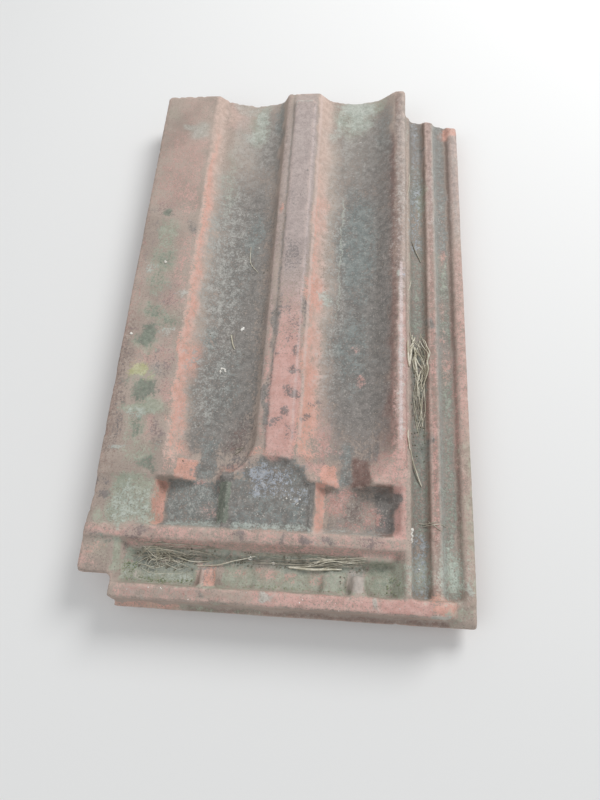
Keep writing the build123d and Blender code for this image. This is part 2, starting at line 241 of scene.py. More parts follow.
ROSE = Layer("rose", "#c89b92", "#d7ada5", ragged=1.2, marks=(
    Across(-116, 20, (-18, -15, -11, -8, 7, 10), (0, 0.45, 0.4, 0.8, 0.8, 0), 60, 0.4),
    Across(-116, -34, (-14, -9, 8, 11), (0, 1.3, 1.3, 0.4), 30, 0.4),
    Across(-130, 20, (74, 77, 79, 84, 87), (0, 0.1, 0.75, 0.75, 0), 30),
    Across(-199, TAIL, (100, 102, 106, 107.5), (0, 0.45, 0.42, 0)),
    Across(-199, 70, (120, 122, 129), (0, 0.5, 0.5), 20),
    Across(80, 185, (-124, -112, -98, -86, -83), (0.2, 0.4, 0.4, 0.42, 0.2), 25, 1),
    Across(-30, 70, (-124, -112, -98, -86, -83), (0.2, 0.22, 0.3, 0.4, 0.2), 25, 1),
    Plot(-127, 83, -172, -164, 0.45, 1, 0), Plot(-98, 84, -177, -172, 0.45, 1, 0),
    Plot(-100, -12, -209.5, -200.5, 0.45, 1, 0), Plot(-12, 116, -209.5, -200.5, 0.65, 1, 0),
    Plot(68, 100, -209.5, -200.5, 0.9, 1, 0), Plot(60, 84, -131, -107, 0.56, 3, 0.6),
    Plot(76, 84, -165, -131, 0.85, 1, 0), Plot(22, 80, -124, -108, 0.3, 7, 1),
    Patch(-124, -184, 14, 9, 0.4), Patch(-98, 196, 18, 30, 0.32), Patch(-98, -42, 17, 13, 0.5),
    Patch(-92, 4, 12, 14, 0.45), Patch(-92, 100, 16, 50, 0.2), Patch(-94, 35, 12, 34, 0.3),
    Patch(-92, -100, 9, 14, 0.5), Patch(-88, -70, 8, 16, 0.5), Patch(-88, -10, 6, 30, 0.35),
    Patch(-76, -119, 6, 10, 0.35), Patch(-62, 200, 14, 26, 0.42), Patch(28, -45, 8, 12, 0.4),
    Patch(26, -95, 10, 16, 0.5), Patch(-30, -122, 10, 5, 0.6), Patch(24, -120, 12, 8, 0.6),
))

MAUVE = Layer("mauve", "#a89b98", "#bbada9", marks=(
    Across(15, TAIL, (-18, -16, -12, -10.5, -9, 7, 10, 12), (0, 0.55, 0.5, 0.4, 1, 1, 0.6, 0), 75),
    Across(-16, 40, (-18, -16, -12, -10.5, -9, 7, 10, 12), (0, 0.4, 0.35, 0.3, 0.4, 0.4, 0.4, 0), 24),
    Across(-100, TAIL, (75, 78, 84, 86), (0, 0.4, 0.45, 0), 30),
    Across(70, TAIL, (119, 121, 129), (0, 0.6, 0.6), 30),
    Across(70, TAIL, (100.5, 102, 106, 107.5), (0, 0.45, 0.45, 0), 30),
    Patch(112, 120, 6, 60, 0.5), Patch(114, -35, 5, 22, 0.5), Patch(113, 60, 5, 16, 0.5),
    Patch(96, 150, 5, 40, 0.5),
))

PEACH = Layer("peach", "#bda79b", "#cfb8ac", opacity=0.9, marks=(
    Across(-120, TAIL, (-83, -81.5, -79.5, -75, -71, -64), (0, 0.25, 0.62, 0.9, 0.5, 0), 6, 0.2),
    Across(-112, TAIL, (9, 11.5, 13, 17, 22, 28), (0, 0.7, 0.95, 0.85, 0.45, 0), 6, 0.4),
    Plot(25, 30.5, -164, -131, 1.2, 1, 0.15), Plot(-51, -43, -200, -186, 1.2, 1, 0.1),
    Plot(47.5, 57.5, -199, -185, 1.2, 1, 0.1),
    Patch(-73, 200, 12, 34, 0.5),
))

ORANGE = Layer("orange", "#cc9d8d", "#dbab9d", opacity=0.92, ragged=1.35, marks=(
    Across(-120, 170, (-81, -80, -77, -73.5, -71), (0, 0.2, 0.74, 0.4, 0), 60, 0.5),
    Across(-112, 130, (11, 13, 16, 21, 26), (0, 0.5, 0.5, 0.3, 0), 60, 0.6),
    Across(-58, -27, (-82, -80, -70, -66, -60), (0, 0.9, 0.9, 0.7, 0), 14, 0.9),
    Across(-112, -30, (10, 12, 16, 20, 25), (0, 0.85, 0.95, 0.5, 0), 20, 0.8),
    Plot(-70.5, -58, -131, -117.5, 1.2, 1.5, 0.3), Plot(-84, -78, -163, -133, 1.1, 1, 0.15),
    Plot(25, 30.5, -164, -131, 0.75, 1, 0.15), Plot(28, 39.5, -131, -117, 1.2, 2, 0.5),
    Plot(-43, -37, -199, -186, 1.4, 0.8, 0.1), Plot(-103, -60, -215.5, -211.5, 0.6, 1),
    Patch(-76, 110, 4, 40, 0.5), Patch(-75, -75, 6, 24, 0.8), Patch(-68, -33, 5, 8, 0.6),
    Patch(16, 18, 9, 18, 0.9), Patch(17, -30, 9, 26, 0.6), Patch(16, -85, 9, 30, 0.8),
    Patch(18, 90, 6, 30, 0.5), Patch(-69, -108, 8, 9, 0.6), Patch(18, -112, 8, 8, 0.7),
    Patch(-34, -122, 7, 5, 0.5), Patch(-16, -113, 8, 4, 0.5), Patch(-15, 91, 2.5, 6, 0.6),
    Patch(107, -204, 9, 6, 0.9), Patch(120, 181, 8, 8, 1), Patch(-97, -187, 1.5, 10, 0.5),
))

FILM_AND_SHADE = Layer("film", "#6f6e6b", "#8b8884", opacity=0.92, ragged=1.2, marks=(
    Across(-106, 140, (-77, -72, -65, -52, -32, -22, -17.5, -16), (0, 0.3, 0.7, 0.92, 0.92, 0.55, 0.25, 0),
           70, 0.8, BRINK),
    Across(-112, -30, (-74, -66, -50, -32, -22, -17), (0, 0.75, 0.95, 0.92, 0.6, 0), 20, 0.7, BRINK),
    Across(110, TAIL, (-70, -58, -44, -32, -22, -17), (0, 0.32, 0.56, 0.75, 0.7, 0), 50, 0.8, 31.4),
    Across(-104, 125, (20, 26, 33, 40, 60, 70, 76, 78), (0, 0.4, 0.75, 1, 1, 0.75, 0.4, 0), 40, 0.8,
           BRINK),
    Across(70, TAIL, (16, 24, 34, 60, 72, 77), (0, 0.3, 0.62, 0.72, 0.6, 0), 50, 0.6, 31.4),
    # Painted shade: a dark line where the rib panel's left wall lies in shade.
    Across(-112, TAIL, (-13, -11.5, -10.5, -9), (0, 0.5, 0.5, 0)),
    Across(-40, 10, (-16, -13, -9, -6), (0, 0.65, 0.65, 0), 16, 1),
    # Painted shade: a faint dark line along the rib panel's right edge, between two painted highlights.
    Across(-100, 200, (8, 9.2, 10.8, 12), (0, 0.25, 0.25, 0)),
    Across(-199, TAIL, (87, 89, 98, 100), (0, 0.6, 0.6, 0)),
    Across(-199, TAIL, (106.5, 108.5, 117, 118.5), (0, 0.62, 0.62, 0)),
    Plot(-58, -44, -131, -100, 1, 3.5, 0.6, 28), Plot(-72, -50, -114, -95, 0.8, 6, 1, 24),
    Plot(41, 48.5, -131, -100, 1, 3, 0.3, 27.5), Plot(28, 70, -115, -96, 0.6, 7, 1, 26),
    Plot(-77, -33, -164, -131, 0.85, 2, 0.4, 28.5), Plot(-38, 24.5, -163, -131, 1, 1.2, 0.1),
    # Painted shade: the first plot darkens the shadow that the middle block casts on the left pocket.
    Plot(-40, -30, -163, -124, 1, 1.5, 0.3), Plot(-25, 19, -132, -122, 1, 2, 0.8),
    Plot(-17, 12, -123, -117, 1, 2.5, 0.8), Plot(33, 74, -164, -131, 0.6, 2, 0.4, 28.5),
    Plot(63, 76, -163, -133, 0.95, 4, 0.7, 31), Plot(-98, 82, -186, -177, 0.45, 1, 0.3, 25),
    Plot(-98, 82, -199, -186, 0.25, 1),
    Patch(-88, 73, 6, 6, 0.5), Patch(-120, 88, 5, 6, 0.4), Patch(-12, -76, 3, 22, 0.8),
    Patch(6, 126, 1.2, 2, 1), Patch(97, 167, 2, 2, 1), Patch(102, -96, 3, 4, 1.1),
    Patch(102, -5, 4, 6, 0.8), Patch(78, -139, 4, 5, 1), Patch(-120, -100, 6, 20, 0.3),
))

SPOTTING = Layer("spotting", "#6f6b6a", "#857f7d", opacity=0.8, ragged=2.1, low=0.3, high=0.8, marks=(
    Patch(6, -52, 4, 3, 0.95), Patch(3, -69, 5.5, 4.5, 0.95), Patch(0, -85, 4, 4, 0.8),
    Patch(-4, -91, 6, 3, 0.7), Patch(5, -97, 4, 5, 0.5), Patch(-8, -41, 3, 3, 0.8),
    Patch(8, -38, 2, 4, 0.7), Patch(3, -20, 7, 12, 0.42), Patch(9, -2, 4, 12, 0.55),
    Patch(-4, 0, 5, 8, 0.4), Patch(-3, 45, 8, 14, 0.5), Patch(-3, 100, 8, 16, 0.32),
    Patch(3, 150, 6, 20, 0.28), Patch(21, -69, 3, 3, 0.8), Patch(16, -86, 3.5, 3.5, 0.85),
    Patch(17, -73, 3, 4, 0.6), Patch(22, -170, 4, 3.5, 0.95), Patch(34, -169, 4.5, 3.5, 0.95),
    Patch(6, -167, 3, 3, 0.9), Patch(-22, -168, 4, 3, 0.8), Patch(-46, -169, 3, 2, 0.6),
    Patch(-88, -168, 10, 5, 0.6), Patch(60, -168, 12, 4, 0.4), Patch(-43, -204.5, 3, 2.5, 0.8),
    Patch(-122, -136, 7, 3, 0.55), Patch(-104, -138, 10, 5, 0.6), Patch(-117, -144, 4, 3.5, 1.1),
    Patch(-88, -104, 5, 14, 0.6), Patch(-98, -150, 12, 12, 0.42), Patch(-120, -172, 7, 3, 0.5),
    Patch(-96, -182, 3, 8, 0.4), Patch(-100, 0, 16, 30, 0.32), Patch(-96, -60, 12, 40, 0.36),
    Patch(-118, -60, 6, 60, 0.3), Patch(-110, 60, 12, 60, 0.28), Patch(66, -155, 10, 12, 0.5),
    Patch(-30, -118, 12, 5, 0.5), Patch(20, -116, 12, 5, 0.45),
))

TEAL = Layer("teal", "#747d7c", "#899391", opacity=0.7, ragged=1.4, marks=(
    Plot(-58, -45, -131, -98, 0.4, 6, 0.8), Plot(41, 48, -131, -98, 0.45, 5, 0.4),
    Plot(-76, -40, -164, -131, 0.55, 3, 0.3, 28.5), Plot(-30, 21, -163, -118, 0.4, 3),
    Plot(88, 99, -199, TAIL, 0.42, 2), Plot(-98, 60, -189, -177, 0.45, 1.5),
    Plot(108, 117, 60, TAIL, 0.5, 2), Plot(108, 118, -199, 100, 0.35, 2),
    Patch(-60, 80, 14, 60, 0.35), Patch(-52, 30, 16, 50, 0.4), Patch(-52, -60, 20, 40, 0.35),
    Patch(-62, -22, 8, 10, 0.8), Patch(-38, 70, 10, 26, 0.5), Patch(-24, 195, 6, 26, 0.6),
    Patch(46, 60, 16, 60, 0.7), Patch(46, -30, 16, 40, 0.5), Patch(92, 115, 4, 26, 0.7),
    Patch(97, -105, 6, 12, 0.7), Patch(112, -20, 5, 20, 0.6), Patch(66, 180, 8, 40, 0.4),
))

DUST = Layer("dust", "#a7a49d", "#bdb9b2", opacity=0.66, ragged=1.3, marks=(
    Across(120, TAIL, (-72, -60, -45, -30, -18), (0, 0.6, 0.5, 0.4, 0.3), 50, 0.8),
    Across(-30, 150, (-77, -70, -60, -46, -34), (0, 0.55, 0.5, 0.32, 0), 30, 0.8),
    Across(-94, -10, (-74, -66, -56, -44, -30), (0, 0.4, 0.3, 0.15, 0), 16, 0.8),
    Across(-80, TAIL, (12, 17, 26, 36, 40), (0, 0.34, 0.5, 0.25, 0), 30, 0.9),
    Across(-100, TAIL, (-80, -76, -72, -68), (0, 0.25, 0.34, 0), 30, 0.9),
    Across(120, TAIL, (26, 34, 50, 66), (0, 0.5, 0.4, 0), 40, 0.6),
    Across(60, TAIL, (73, 77, 84, 86), (0, 0.5, 0.5, 0), 50, 0.4),
    Plot(27, 43, -198, -186, 0.8, 1, 0.2), Plot(87, 100, 0, TAIL, 0.85, 40),
    Plot(107, 118, 0, TAIL, 0.9, 40), Plot(-96, -52, -199, -187, 0.35, 2),
    Plot(-34, 82, -199, -187, 0.4, 2), Plot(22, 70, -164, -159, 0.5, 1.5),
    Plot(47.5, 57.5, -199, -185, 1.3, 1, 0.1), Plot(-75, -38, -160, -133, 0.22, 3),
    Patch(-46, 50, 6, 12, 0.5), Patch(-64, -75, 8, 16, 0.45), Patch(-97, -50, 6, 7, 0.5),
))

MOULD_AND_SHADE = Layer("mould", "#6e766c", "#868d80", ragged=1.3, marks=(
    # Painted shade: the second plot darkens the shadow that the middle block casts on the left pocket.
    Plot(-92, -56, -189, -178, 0.35, 2, 0.3, 26), Plot(-41, -32, -160, -133, 1.1, 1.5),
    Patch(-107, 88, 4.5, 4, 1), Patch(-103, 42, 9, 10, 0.45), Patch(-105, 22, 7, 10, 0.45),
    Patch(-106, -4, 7, 7, 0.5), Patch(-92, -14, 9, 8, 0.5), Patch(-105, -25, 8, 9, 1.15),
    Patch(-102, -68, 9, 8, 1), Patch(-103, -98, 6, 10, 0.6), Patch(-92, -124, 9, 5, 0.85),
    Patch(71, -190, 10, 10, 0.25), Patch(60, -183, 22, 4, 0.3), Patch(-84, -186, 12, 6, 0.6),
    Patch(92, -180, 5, 20, 0.3),
))

BARE = Layer("bare", "#b98f86", "#cda49b", opacity=0.8, ragged=1.7, marks=(
    Patch(38, -144, 8, 10, 0.8), Patch(46, -137, 8, 5, 0.6), Patch(61, -149, 9, 9, 0.65),
    Patch(50, -158, 12, 3, 0.4), Patch(52, -54, 5, 4, 0.5), Patch(-48, -152, 8, 6, 0.3),
    Patch(-56, -133, 6, 2, 0.5), Patch(48, -28, 6, 5, 0.35), Patch(28, -104, 10, 8, 0.4),
    Patch(112, -30, 5, 24, 0.45), Patch(113, 56, 4, 10, 0.5), Patch(112, 10, 4, 8, 0.4),
    Patch(-4, -188, 8, 8, 0.6), Patch(12, -192, 6, 5, 0.4), Patch(29, -190, 7, 5, 0.4),
    Patch(-21, -190, 8, 5, 0.35), Patch(-118, -180, 8, 6, 0.3), Patch(-90, -192, 4, 4, 0.3),
))

GREEN = Layer("green", "#949c8a", "#adb3a2", opacity=0.78, ragged=1.2, marks=(
    Across(-205, -80, (119, 123, 129), (0, 0.4, 0.6), 30, 1),
    Plot(-113, -83, -164, -131, 0.85, 5, 0.8), Plot(-106, -100, -194, -172, 0.75, 2),
    Plot(-99, -50, -199, -186, 0.95, 2, 0.1), Plot(-33, 48, -199, -184, 0.75, 1.5, 0.1),
    Plot(58, 84, -199, -184, 0.75, 1.5, 0.1), Plot(-98, 84, -201, -198, 0.55, 1),
    Plot(60, 84, -199, -178, 0.8, 3, 0.2), Plot(-98, 60, -186, -177, 0.6, 1),
    Plot(86, 100, -199, 150, 0.35, 2), Plot(107, 118, -199, 60, 0.4, 2),
    Plot(86, 100, -199, -170, 0.85, 12), Plot(107, 118, -199, -165, 1, 12),
    Patch(-105, 66, 10, 18, 0.6), Patch(-104, 40, 12, 20, 0.6), Patch(-105, 22, 10, 14, 0.6),
    Patch(-106, -4, 10, 10, 0.6), Patch(-93, -12, 13, 11, 0.6), Patch(-106, -30, 12, 12, 0.6),
    Patch(-99, -82, 18, 8, 1.1), Patch(-106, -62, 12, 12, 0.5), Patch(-103, -98, 10, 14, 0.6),
    Patch(-95, -116, 14, 12, 0.5), Patch(-104, -116, 8, 6, 0.45), Patch(-118, -160, 8, 6, 0.5),
    Patch(-116, -180, 9, 10, 0.45), Patch(-62, 130, 8, 50, 0.35), Patch(-42, 190, 12, 30, 0.5),
    Patch(40, 195, 22, 24, 0.5), Patch(60, 208, 14, 10, 0.5), Patch(-30, -205, 18, 4, 0.35),
    Patch(118, -208, 12, 6, 0.5), Patch(-40, -214, 60, 3, 0.4), Patch(98, 110, 4, 20, 0.6),
    Patch(-118, 195, 8, 14, 0.35),
))

CRUST = Layer("crust", "#aab2a9", "#c2c8c0", opacity=0.68, ragged=1.25, low=0.25, high=0.88, marks=(
    Across(-100, 25, (77.5, 79, 81.5, 83.5), (0, 0.55, 0.55, 0), 14),
    Plot(-75, -36, -164, -158, 0.7, 2), Plot(-30, 24, -164, -159, 0.6, 1.5),
    Plot(32, 70, -164, -160, 0.35, 1.5), Plot(-111, -84, -164, -138, 0.6, 6, 0.9),
    Plot(-98, -52, -198, -188, 0.4, 2), Plot(86, 100, -199, -172, 0.4, 14, 0.6),
    Plot(107, 118, -199, -168, 0.5, 16, 0.6), Plot(98, 110, -210.5, -208, 0.9, 1),
    Plot(-9, 6, 202.6, 204.4, 0.8, 0.6, 0.2), Plot(-9.5, -7.8, 196, 204, 0.55, 0.6, 0.2),
    Plot(-8, 5, 187, 188.2, 0.4, 0.5, 0.2),
    Patch(-92, 173, 12, 13, 0.66), Patch(-102, 177, 8, 6, 0.6), Patch(-40, 196, 9, 24, 0.7),
    Patch(-44, 177, 14, 10, 0.62), Patch(-55, 208, 14, 8, 0.55), Patch(44, 207, 18, 14, 1),
    Patch(46, 190, 14, 14, 0.7), Patch(28, 176, 6, 9, 0.6), Patch(31, 195, 5, 18, 0.6),
    Patch(-112, -112, 8, 2.5, 0.8), Patch(-104, -86, 12, 6, 0.6), Patch(-112, 31, 5, 3, 0.6),
    Patch(-86, 10, 6, 4, 0.6), Patch(-90, -22, 6, 5, 0.6), Patch(25, 12, 6, 6, 0.9),
    Patch(76, 31, 2, 4, 0.9), Patch(-3, -203, 5, 2.5, 1), Patch(-83, -206, 5, 2.5, 0.5),
    Patch(65, -205, 2, 3, 0.8), Patch(123, -192, 2.5, 3, 1.1), Patch(124, 100, 4, 12, 0.4),
    Patch(124, 145, 4, 14, 0.4), Patch(86, 184, 3, 30, 0.5),
))

BLOOM = Layer("bloom", "#9297a0", "#b7bbc4", opacity=0.75, ragged=2.2, low=0.3, high=0.85, marks=(
    Plot(88, 98, 60, TAIL, 0.46, 6), Plot(88, 98, -199, -160, 0.46, 4),
    Patch(-7, -127, 17, 7, 0.7), Patch(-6, -136, 15, 8, 0.6), Patch(12, -138, 10, 6, 0.4),
    Patch(80, 30, 3, 8, 0.5),
))

SILT = Layer("silt", "#b3beb3", "#c9d3c9", opacity=0.8, ragged=0.6, marks=(
    Plot(86.5, 99, -199, -172, 1, 16), Plot(107.5, 117.5, -199, -164, 1.3, 20),
    Plot(87.5, 98.5, 60, TAIL, 0.55, 40), Plot(108, 117, 60, TAIL, 0.5, 40),
))

# Painted shade: umber darkens the right trough's right wall, the slope beside the right neck, the left
# trough's wall near the head and the right pocket; the strip on the head rib is dark clay.
UMBER_AND_SHADE = Layer("umber_and_shade", "#705a54", "#846d66", opacity=0.8, marks=(
    Across(-100, 165, (62, 70, 75, 77.5), (0, 0.2, 0.62, 0), 20, 0.5),
    Plot(48.5, 60, -131, -112, 1, 2), Plot(-95, -10, -208, -202, 0.3, 1.5),
    Patch(-32, -98, 12, 16, 0.45), Patch(52, -148, 18, 12, 0.42),
))

YELLOW = Layer("yellow", "#b0b07f", "#c6c69e", opacity=0.75, ragged=1.4, marks=(
    Patch(-109, -53, 6, 6, 1), Patch(-101, -60, 4, 4, 0.4),
))

SOIL = Layer("soil", "#787b76", "#93968c", opacity=0.8, ragged=1.4, marks=(
    Plot(-93, 60, -187, -178.5, 0.6, 1.5, 0.3, 25.5), Plot(-90, -50, -192, -180, 0.7, 3, 0.3, 24),
    Plot(5, 50, -188, -180, 0.6, 2, 0.3, 24), Plot(87, 99, -112, -40, 0.6, 5, 0.8),
    Patch(-110, -174, 12, 3, 0.4), Patch(45, -193, 2, 4, 0.6),
))

LAYERS = (
    BROWN_AND_SHADE, ROSE, MAUVE, PEACH, ORANGE, FILM_AND_SHADE, UMBER_AND_SHADE, TEAL, DUST, SPOTTING, GREEN, MOULD_AND_SHADE, BARE, CRUST, SILT,
    BLOOM, YELLOW, SOIL,
)

# Painted highlights: most of these lines brighten rounded edges that catch the light, along the left
# trough's brink, the rib panel's edges, the crest, the lip and the ridges of the interlock; the lines at X
# 34 and 29.5 are cracks.
HIGHLIGHTS_AND_CRACKS = (
    Line(-80.3, 0.75, -118, TAIL, 0.12, "#cfb8ae", 0.5), Line(12.2, 1, -100, TAIL, 0.6, "#cfbbb3", 0.4),
    Line(7.4, 0.9, -105, 200, 0.32, "#cfc2c0", 0.5), Line(101.6, 1, -190, 200, 0.45, "#c9b3a9", 0.4),
    Line(108.6, 2.2, -199, 205, 0.45, "#b0b4b0", 1), Line(121.6, 1.3, -190, 180, 0.4, "#cdb6ab", 0.5),
    Line(80.3, 1.2, -100, 40, 0.75, "#dccdcb", 0.3), Line(34, 0.6, -2, 108, 0.55, "#b6bbb0", 3.5),
    Line(29.5, 0.5, -50, 4, 0.4, "#b0a9a2", 3), Line(-16.6, 0.6, -90, TAIL, 0.3, "#c3b3ae", 0.6),
    Line(86, 0.7, -120, 150, 0.45, "#cbb9ad", 0.6),
)

NICKS = (
    Nick(122, 184, 9, 8, 2.2), Nick(-15.5, 90, 2.5, 5, 0.8), Nick(104, -209, 8, 2.5, 1),
    Nick(-126, -60, 3, 9, 1), Nick(-127, 60, 2.5, 6, 0.8), Nick(76, 34, 2.5, 5, 0.7),
    Nick(-34, -126, 6, 4, 0.8), Nick(125, -60, 3, 5, 0.6),
)


def linear(colour: str) -> tuple[float, float, float, float]:
    """Turn an sRGB hex colour into linear light.

    Args:
        colour: six hex digits, with a leading hash.

    Returns:
        The linear red, green, blue and an alpha of 1.
    """
    parts = [int(colour[i:i + 2], 16) / 255 for i in (1, 3, 5)]
    values = [v / 12.92 if v <= 0.04045 else ((v + 0.055) / 1.055) ** 2.4 for v in parts]
    return (*values, 1.0)


BUMP = "ShaderNodeBump"
MATH = "ShaderNodeMath"
MIX = "ShaderNodeMix"
NOISE = "ShaderNodeTexNoise"
OUTPUT = "ShaderNodeOutputMaterial"
RANGE = "ShaderNodeMapRange"
SKIN = "ShaderNodeBsdfPrincipled"
COLOURS = {"data_type": "RGBA"}
EASED = {"interpolation_type": "SMOOTHSTEP"}
MINUS = {"operation": "SUBTRACT"}
TIMES = {"operation": "MULTIPLY"}
TIMES_PLUS = {"operation": "MULTIPLY_ADD"}
# Sockets by number, where several share a name: those of a mix node for colours, and a range node's.
SHARE, UNDER, OVER, MIXED = 0, 6, 7, 2
VALUE, LOW, HIGH, MOST = 0, 1, 2, 4


@dataclass
class NodeSheet:
    """The node tree of a material or of the world."""

    tree: bpy.types.NodeTree

    def add(self, kind: str, inputs: dict | None = None, output: int | str = 0,
            **settings: object) -> Socket | None:
        """Add a node with its settings and links.

        Args:
            kind: the node's type name.
            inputs: for each input, by name or number, the socket that feeds it or its value.
            output: the output that is wanted, by name or number.
            settings: the node's own properties.

        Returns:
            The wanted output's socket, or None where the node has no outputs.
        """
        node = self.tree.nodes.new(kind)
        for name, value in settings.items():
            setattr(node, name, value)
        for name, value in (inputs or {}).items():
            if isinstance(value, Socket):
                self.tree.links.new(value, node.inputs[name])
            else:
                node.inputs[name].default_value = value
        return node.outputs[output] if node.outputs else None


def new_material(name: str) -> tuple[Material, NodeSheet, Socket]:
    """Start a material with its object coordinates.

    Args:
        name: what the material is.

    Returns:
        The material, its node sheet and the coordinates' socket.
    """
    material = bpy.data.materials.new(name)
    material.use_nodes = True
    sheet = NodeSheet(material.node_tree)
    sheet.tree.nodes.clear()
    return material, sheet, sheet.add("ShaderNodeTexCoord", output="Object")


@dataclass(frozen=True)
class Grain:
    """Cloudy noise whose largest grains have a real size, drawn out along the tile or not."""

    size_mm: float
    detail: float
    rough: float
    warp: float = 0
    drawn: float = 1


# Clouds come from the kiln, blotches and mottling from how lichen and damp spread, and streaks from
# water that ran down the slope. Fine, speck and salt are the sand in the clay, which is 0.1 to 0.5 mm
# in the real body and is drawn 1 to 2 mm here, so that it shows in the render.
GRAINS = {
    "cloud": Grain(38, 4, 0.6, 0.4),
    "blotch": Grain(11, 5, 0.66, 0.3),
    "mottle": Grain(4.5, 5, 0.7),
    "fine": Grain(1.9, 3, 0.65),
    "speck": Grain(1.0, 2, 0.6),
    "salt": Grain(1.2, 3, 0.65),
    "streak": Grain(2.2, 4, 0.6, drawn=0.09),
}

MASKS = ("rough", "top", "under", "wear", "hollow")


@dataclass
class ClaySheet(NodeSheet):
    """The clay's nodes, with the coordinates, the noises by name and the painted attributes by name."""

    place: Socket
    grains: dict[str, Socket]
    marks: dict[str, Socket]


@dataclass(frozen=True)
class ClayFinish:
    """Terracotta, pressed in a mould, fired unglazed and left outdoors for years."""

    # Unglazed terracotta is dull and open-pored: it gives the eye a dry, chalky skin with no gloss,
    # pale bloom and sand grains in it, a clean red where it was sheltered or rubbed, and a grey-green
    # film of lichen and dirt wherever water stands. Painted shade darkens its hollows and the walls
    # that turn from the light, and painted highlights run along some edges.
    pale_clay: str = "#b3a499"
    dark_clay: str = "#a3958b"
    inner_clay: str = "#b08674"
    inner_light: str = "#bd9886"
    worn: str = "#cdb4a8"
    salt: str = "#bdb6ae"
    pepper: str = "#6f6a67"
    shade: str = "#6b605a"
    roughness: float = 0.92
    specular: float = 0.25
    relief_mm: float = 0.6
    grain_spacing_mm: float = 3.8
    line_wander_mm: float = 4
    line_start_mm: float = 6
    line_stop_mm: float = 3
    raggedness: tuple[tuple[str, float], ...] = (
        ("blotch", 0.7), ("mottle", 0.9), ("fine", 1.2), ("speck", 1.0), ("streak", 0.5),
    )

    def build(self) -> Material:
        """Make the weathered fired clay.

        Returns:
            The material.
        """
        material, sheet, place = new_material("terracotta, pressed and unglazed, weathered")
        grains = {}
        for name, grain in GRAINS.items():
            drawn = sheet.add("ShaderNodeMapping", {"Vector": place, "Scale": (1.0, grain.drawn, 1.0)})
            grains[name] = sheet.add(NOISE, {
                "Vector": drawn, "Scale": 1.0 / (grain.size_mm * MM), "Detail": grain.detail,
                "Roughness": grain.rough, "Distortion": grain.warp,
            })
        names = (*(layer.name for layer in LAYERS), *MASKS)
        marks = {
            name: sheet.add("ShaderNodeAttribute", output="Fac", attribute_name=name) for name in names
        }
        clay = ClaySheet(sheet.tree, place, grains, marks)

        base, crust = self.stains(clay, self.bare_clay(clay))
        base = self.speckle(clay, self.lines(clay, base))
        # Painted shade: hollows and corners, found from the mesh's bends, are darkened towards the shade
        # colour, broken up by the mottling.
        soil = clay.add(MATH, {0: grains["mottle"], 1: 0.8, 2: marks["hollow"]}, **TIMES_PLUS)
        soil = clay.add(RANGE, {VALUE: soil, LOW: 0.8, HIGH: 1.4, MOST: 0.3}, **EASED)
        base = clay.add(MIX, {SHARE: soil, UNDER: base, OVER: linear(self.shade)}, MIXED, **COLOURS)

        relief = 0.0
        for part, height in ((grains["mottle"], 0.4), (grains["fine"], 0.35), (crust, 0.44)):
            relief = clay.add(MATH, {0: part, 1: height, 2: relief}, **TIMES_PLUS)
        bump = clay.add(BUMP, {"Height": relief, "Strength": 0.8, "Distance": self.relief_mm * MM})
        skin = clay.add(SKIN, {
            "Base Color": base, "Roughness": self.roughness, "Specular IOR Level": self.specular,
            "Normal": bump,
        })
        clay.add(OUTPUT, {"Surface": skin})
        return material

    def bare_clay(self, clay: ClaySheet) -> Socket:
        """Colour the clay itself, cloudy above and cleaner beneath.

        Args:
            clay: the clay's nodes.

        Returns:
            The colour's socket.
        """
        sides = []
        for grain, low, high, first, second in (
            ("cloud", 0.38, 0.62, self.pale_clay, self.dark_clay),
            ("blotch", 0.3, 0.7, self.inner_clay, self.inner_light),
        ):
            tone = clay.add(RANGE, {VALUE: clay.grains[grain], LOW: low, HIGH: high}, **EASED)
            tones = {SHARE: tone, UNDER: linear(first), OVER: linear(second)}
            sides.append(clay.add(MIX, tones, MIXED, **COLOURS))
        base = {SHARE: clay.marks["under"], UNDER: sides[0], OVER: sides[1]}
        base = clay.add(MIX, base, MIXED, **COLOURS)
        streak = clay.add(RANGE, {VALUE: clay.grains["streak"], LOW: 0.5, HIGH: 0.75, MOST: 0.3}, **EASED)
        return clay.add(MIX, {SHARE: streak, UNDER: base, OVER: linear(self.dark_clay)}, MIXED, **COLOURS)

    def stains(self, clay: ClaySheet, base: Socket) -> tuple[Socket, Socket]:
        """Lay the stains over the clay in their order, with ragged edges, and rub the edges pale; some of
        the stains are painted shade.

        Args:
            clay: the clay's nodes.
            base: the clay's colour so far.

        Returns:
            The stained colour and the share that is crusted.
        """
        mottle = clay.grains["mottle"]
        ragged = 0.0
        for name, strength in self.raggedness:
            part = clay.add(MATH, {0: clay.grains[name], 1: 0.5}, **MINUS)
            ragged = clay.add(MATH, {0: part, 1: strength, 2: ragged}, **TIMES_PLUS)
        ragged = clay.add(MATH, {0: ragged, 1: clay.marks["rough"]}, **TIMES)
        rubbed = clay.add(RANGE, {VALUE: mottle, LOW: 0.4, HIGH: 0.62, MOST: 0.5}, **EASED)
        rubbed = clay.add(MATH, {0: rubbed, 1: clay.marks["wear"]}, **TIMES)
        tint = clay.add(RANGE, {VALUE: mottle, LOW: 0.36, HIGH: 0.64}, **EASED)
        shares = {}
        for layer in LAYERS:
            painted = clay.marks[layer.name]
            edge = clay.add(MATH, {0: ragged, 1: layer.ragged, 2: painted}, **TIMES_PLUS)
            edge = clay.add(RANGE, {VALUE: edge, LOW: layer.low, HIGH: layer.high}, **EASED)
            reach = clay.add(RANGE, {VALUE: painted, LOW: 0.02, HIGH: 0.2, MOST: layer.opacity}, **EASED)
            share = clay.add(MATH, {0: edge, 1: reach}, **TIMES)
            tone = {SHARE: tint, UNDER: linear(layer.dark), OVER: linear(layer.light)}
            tone = clay.add(MIX, tone, MIXED, **COLOURS)
            base = clay.add(MIX, {SHARE: share, UNDER: base, OVER: tone}, MIXED, **COLOURS)
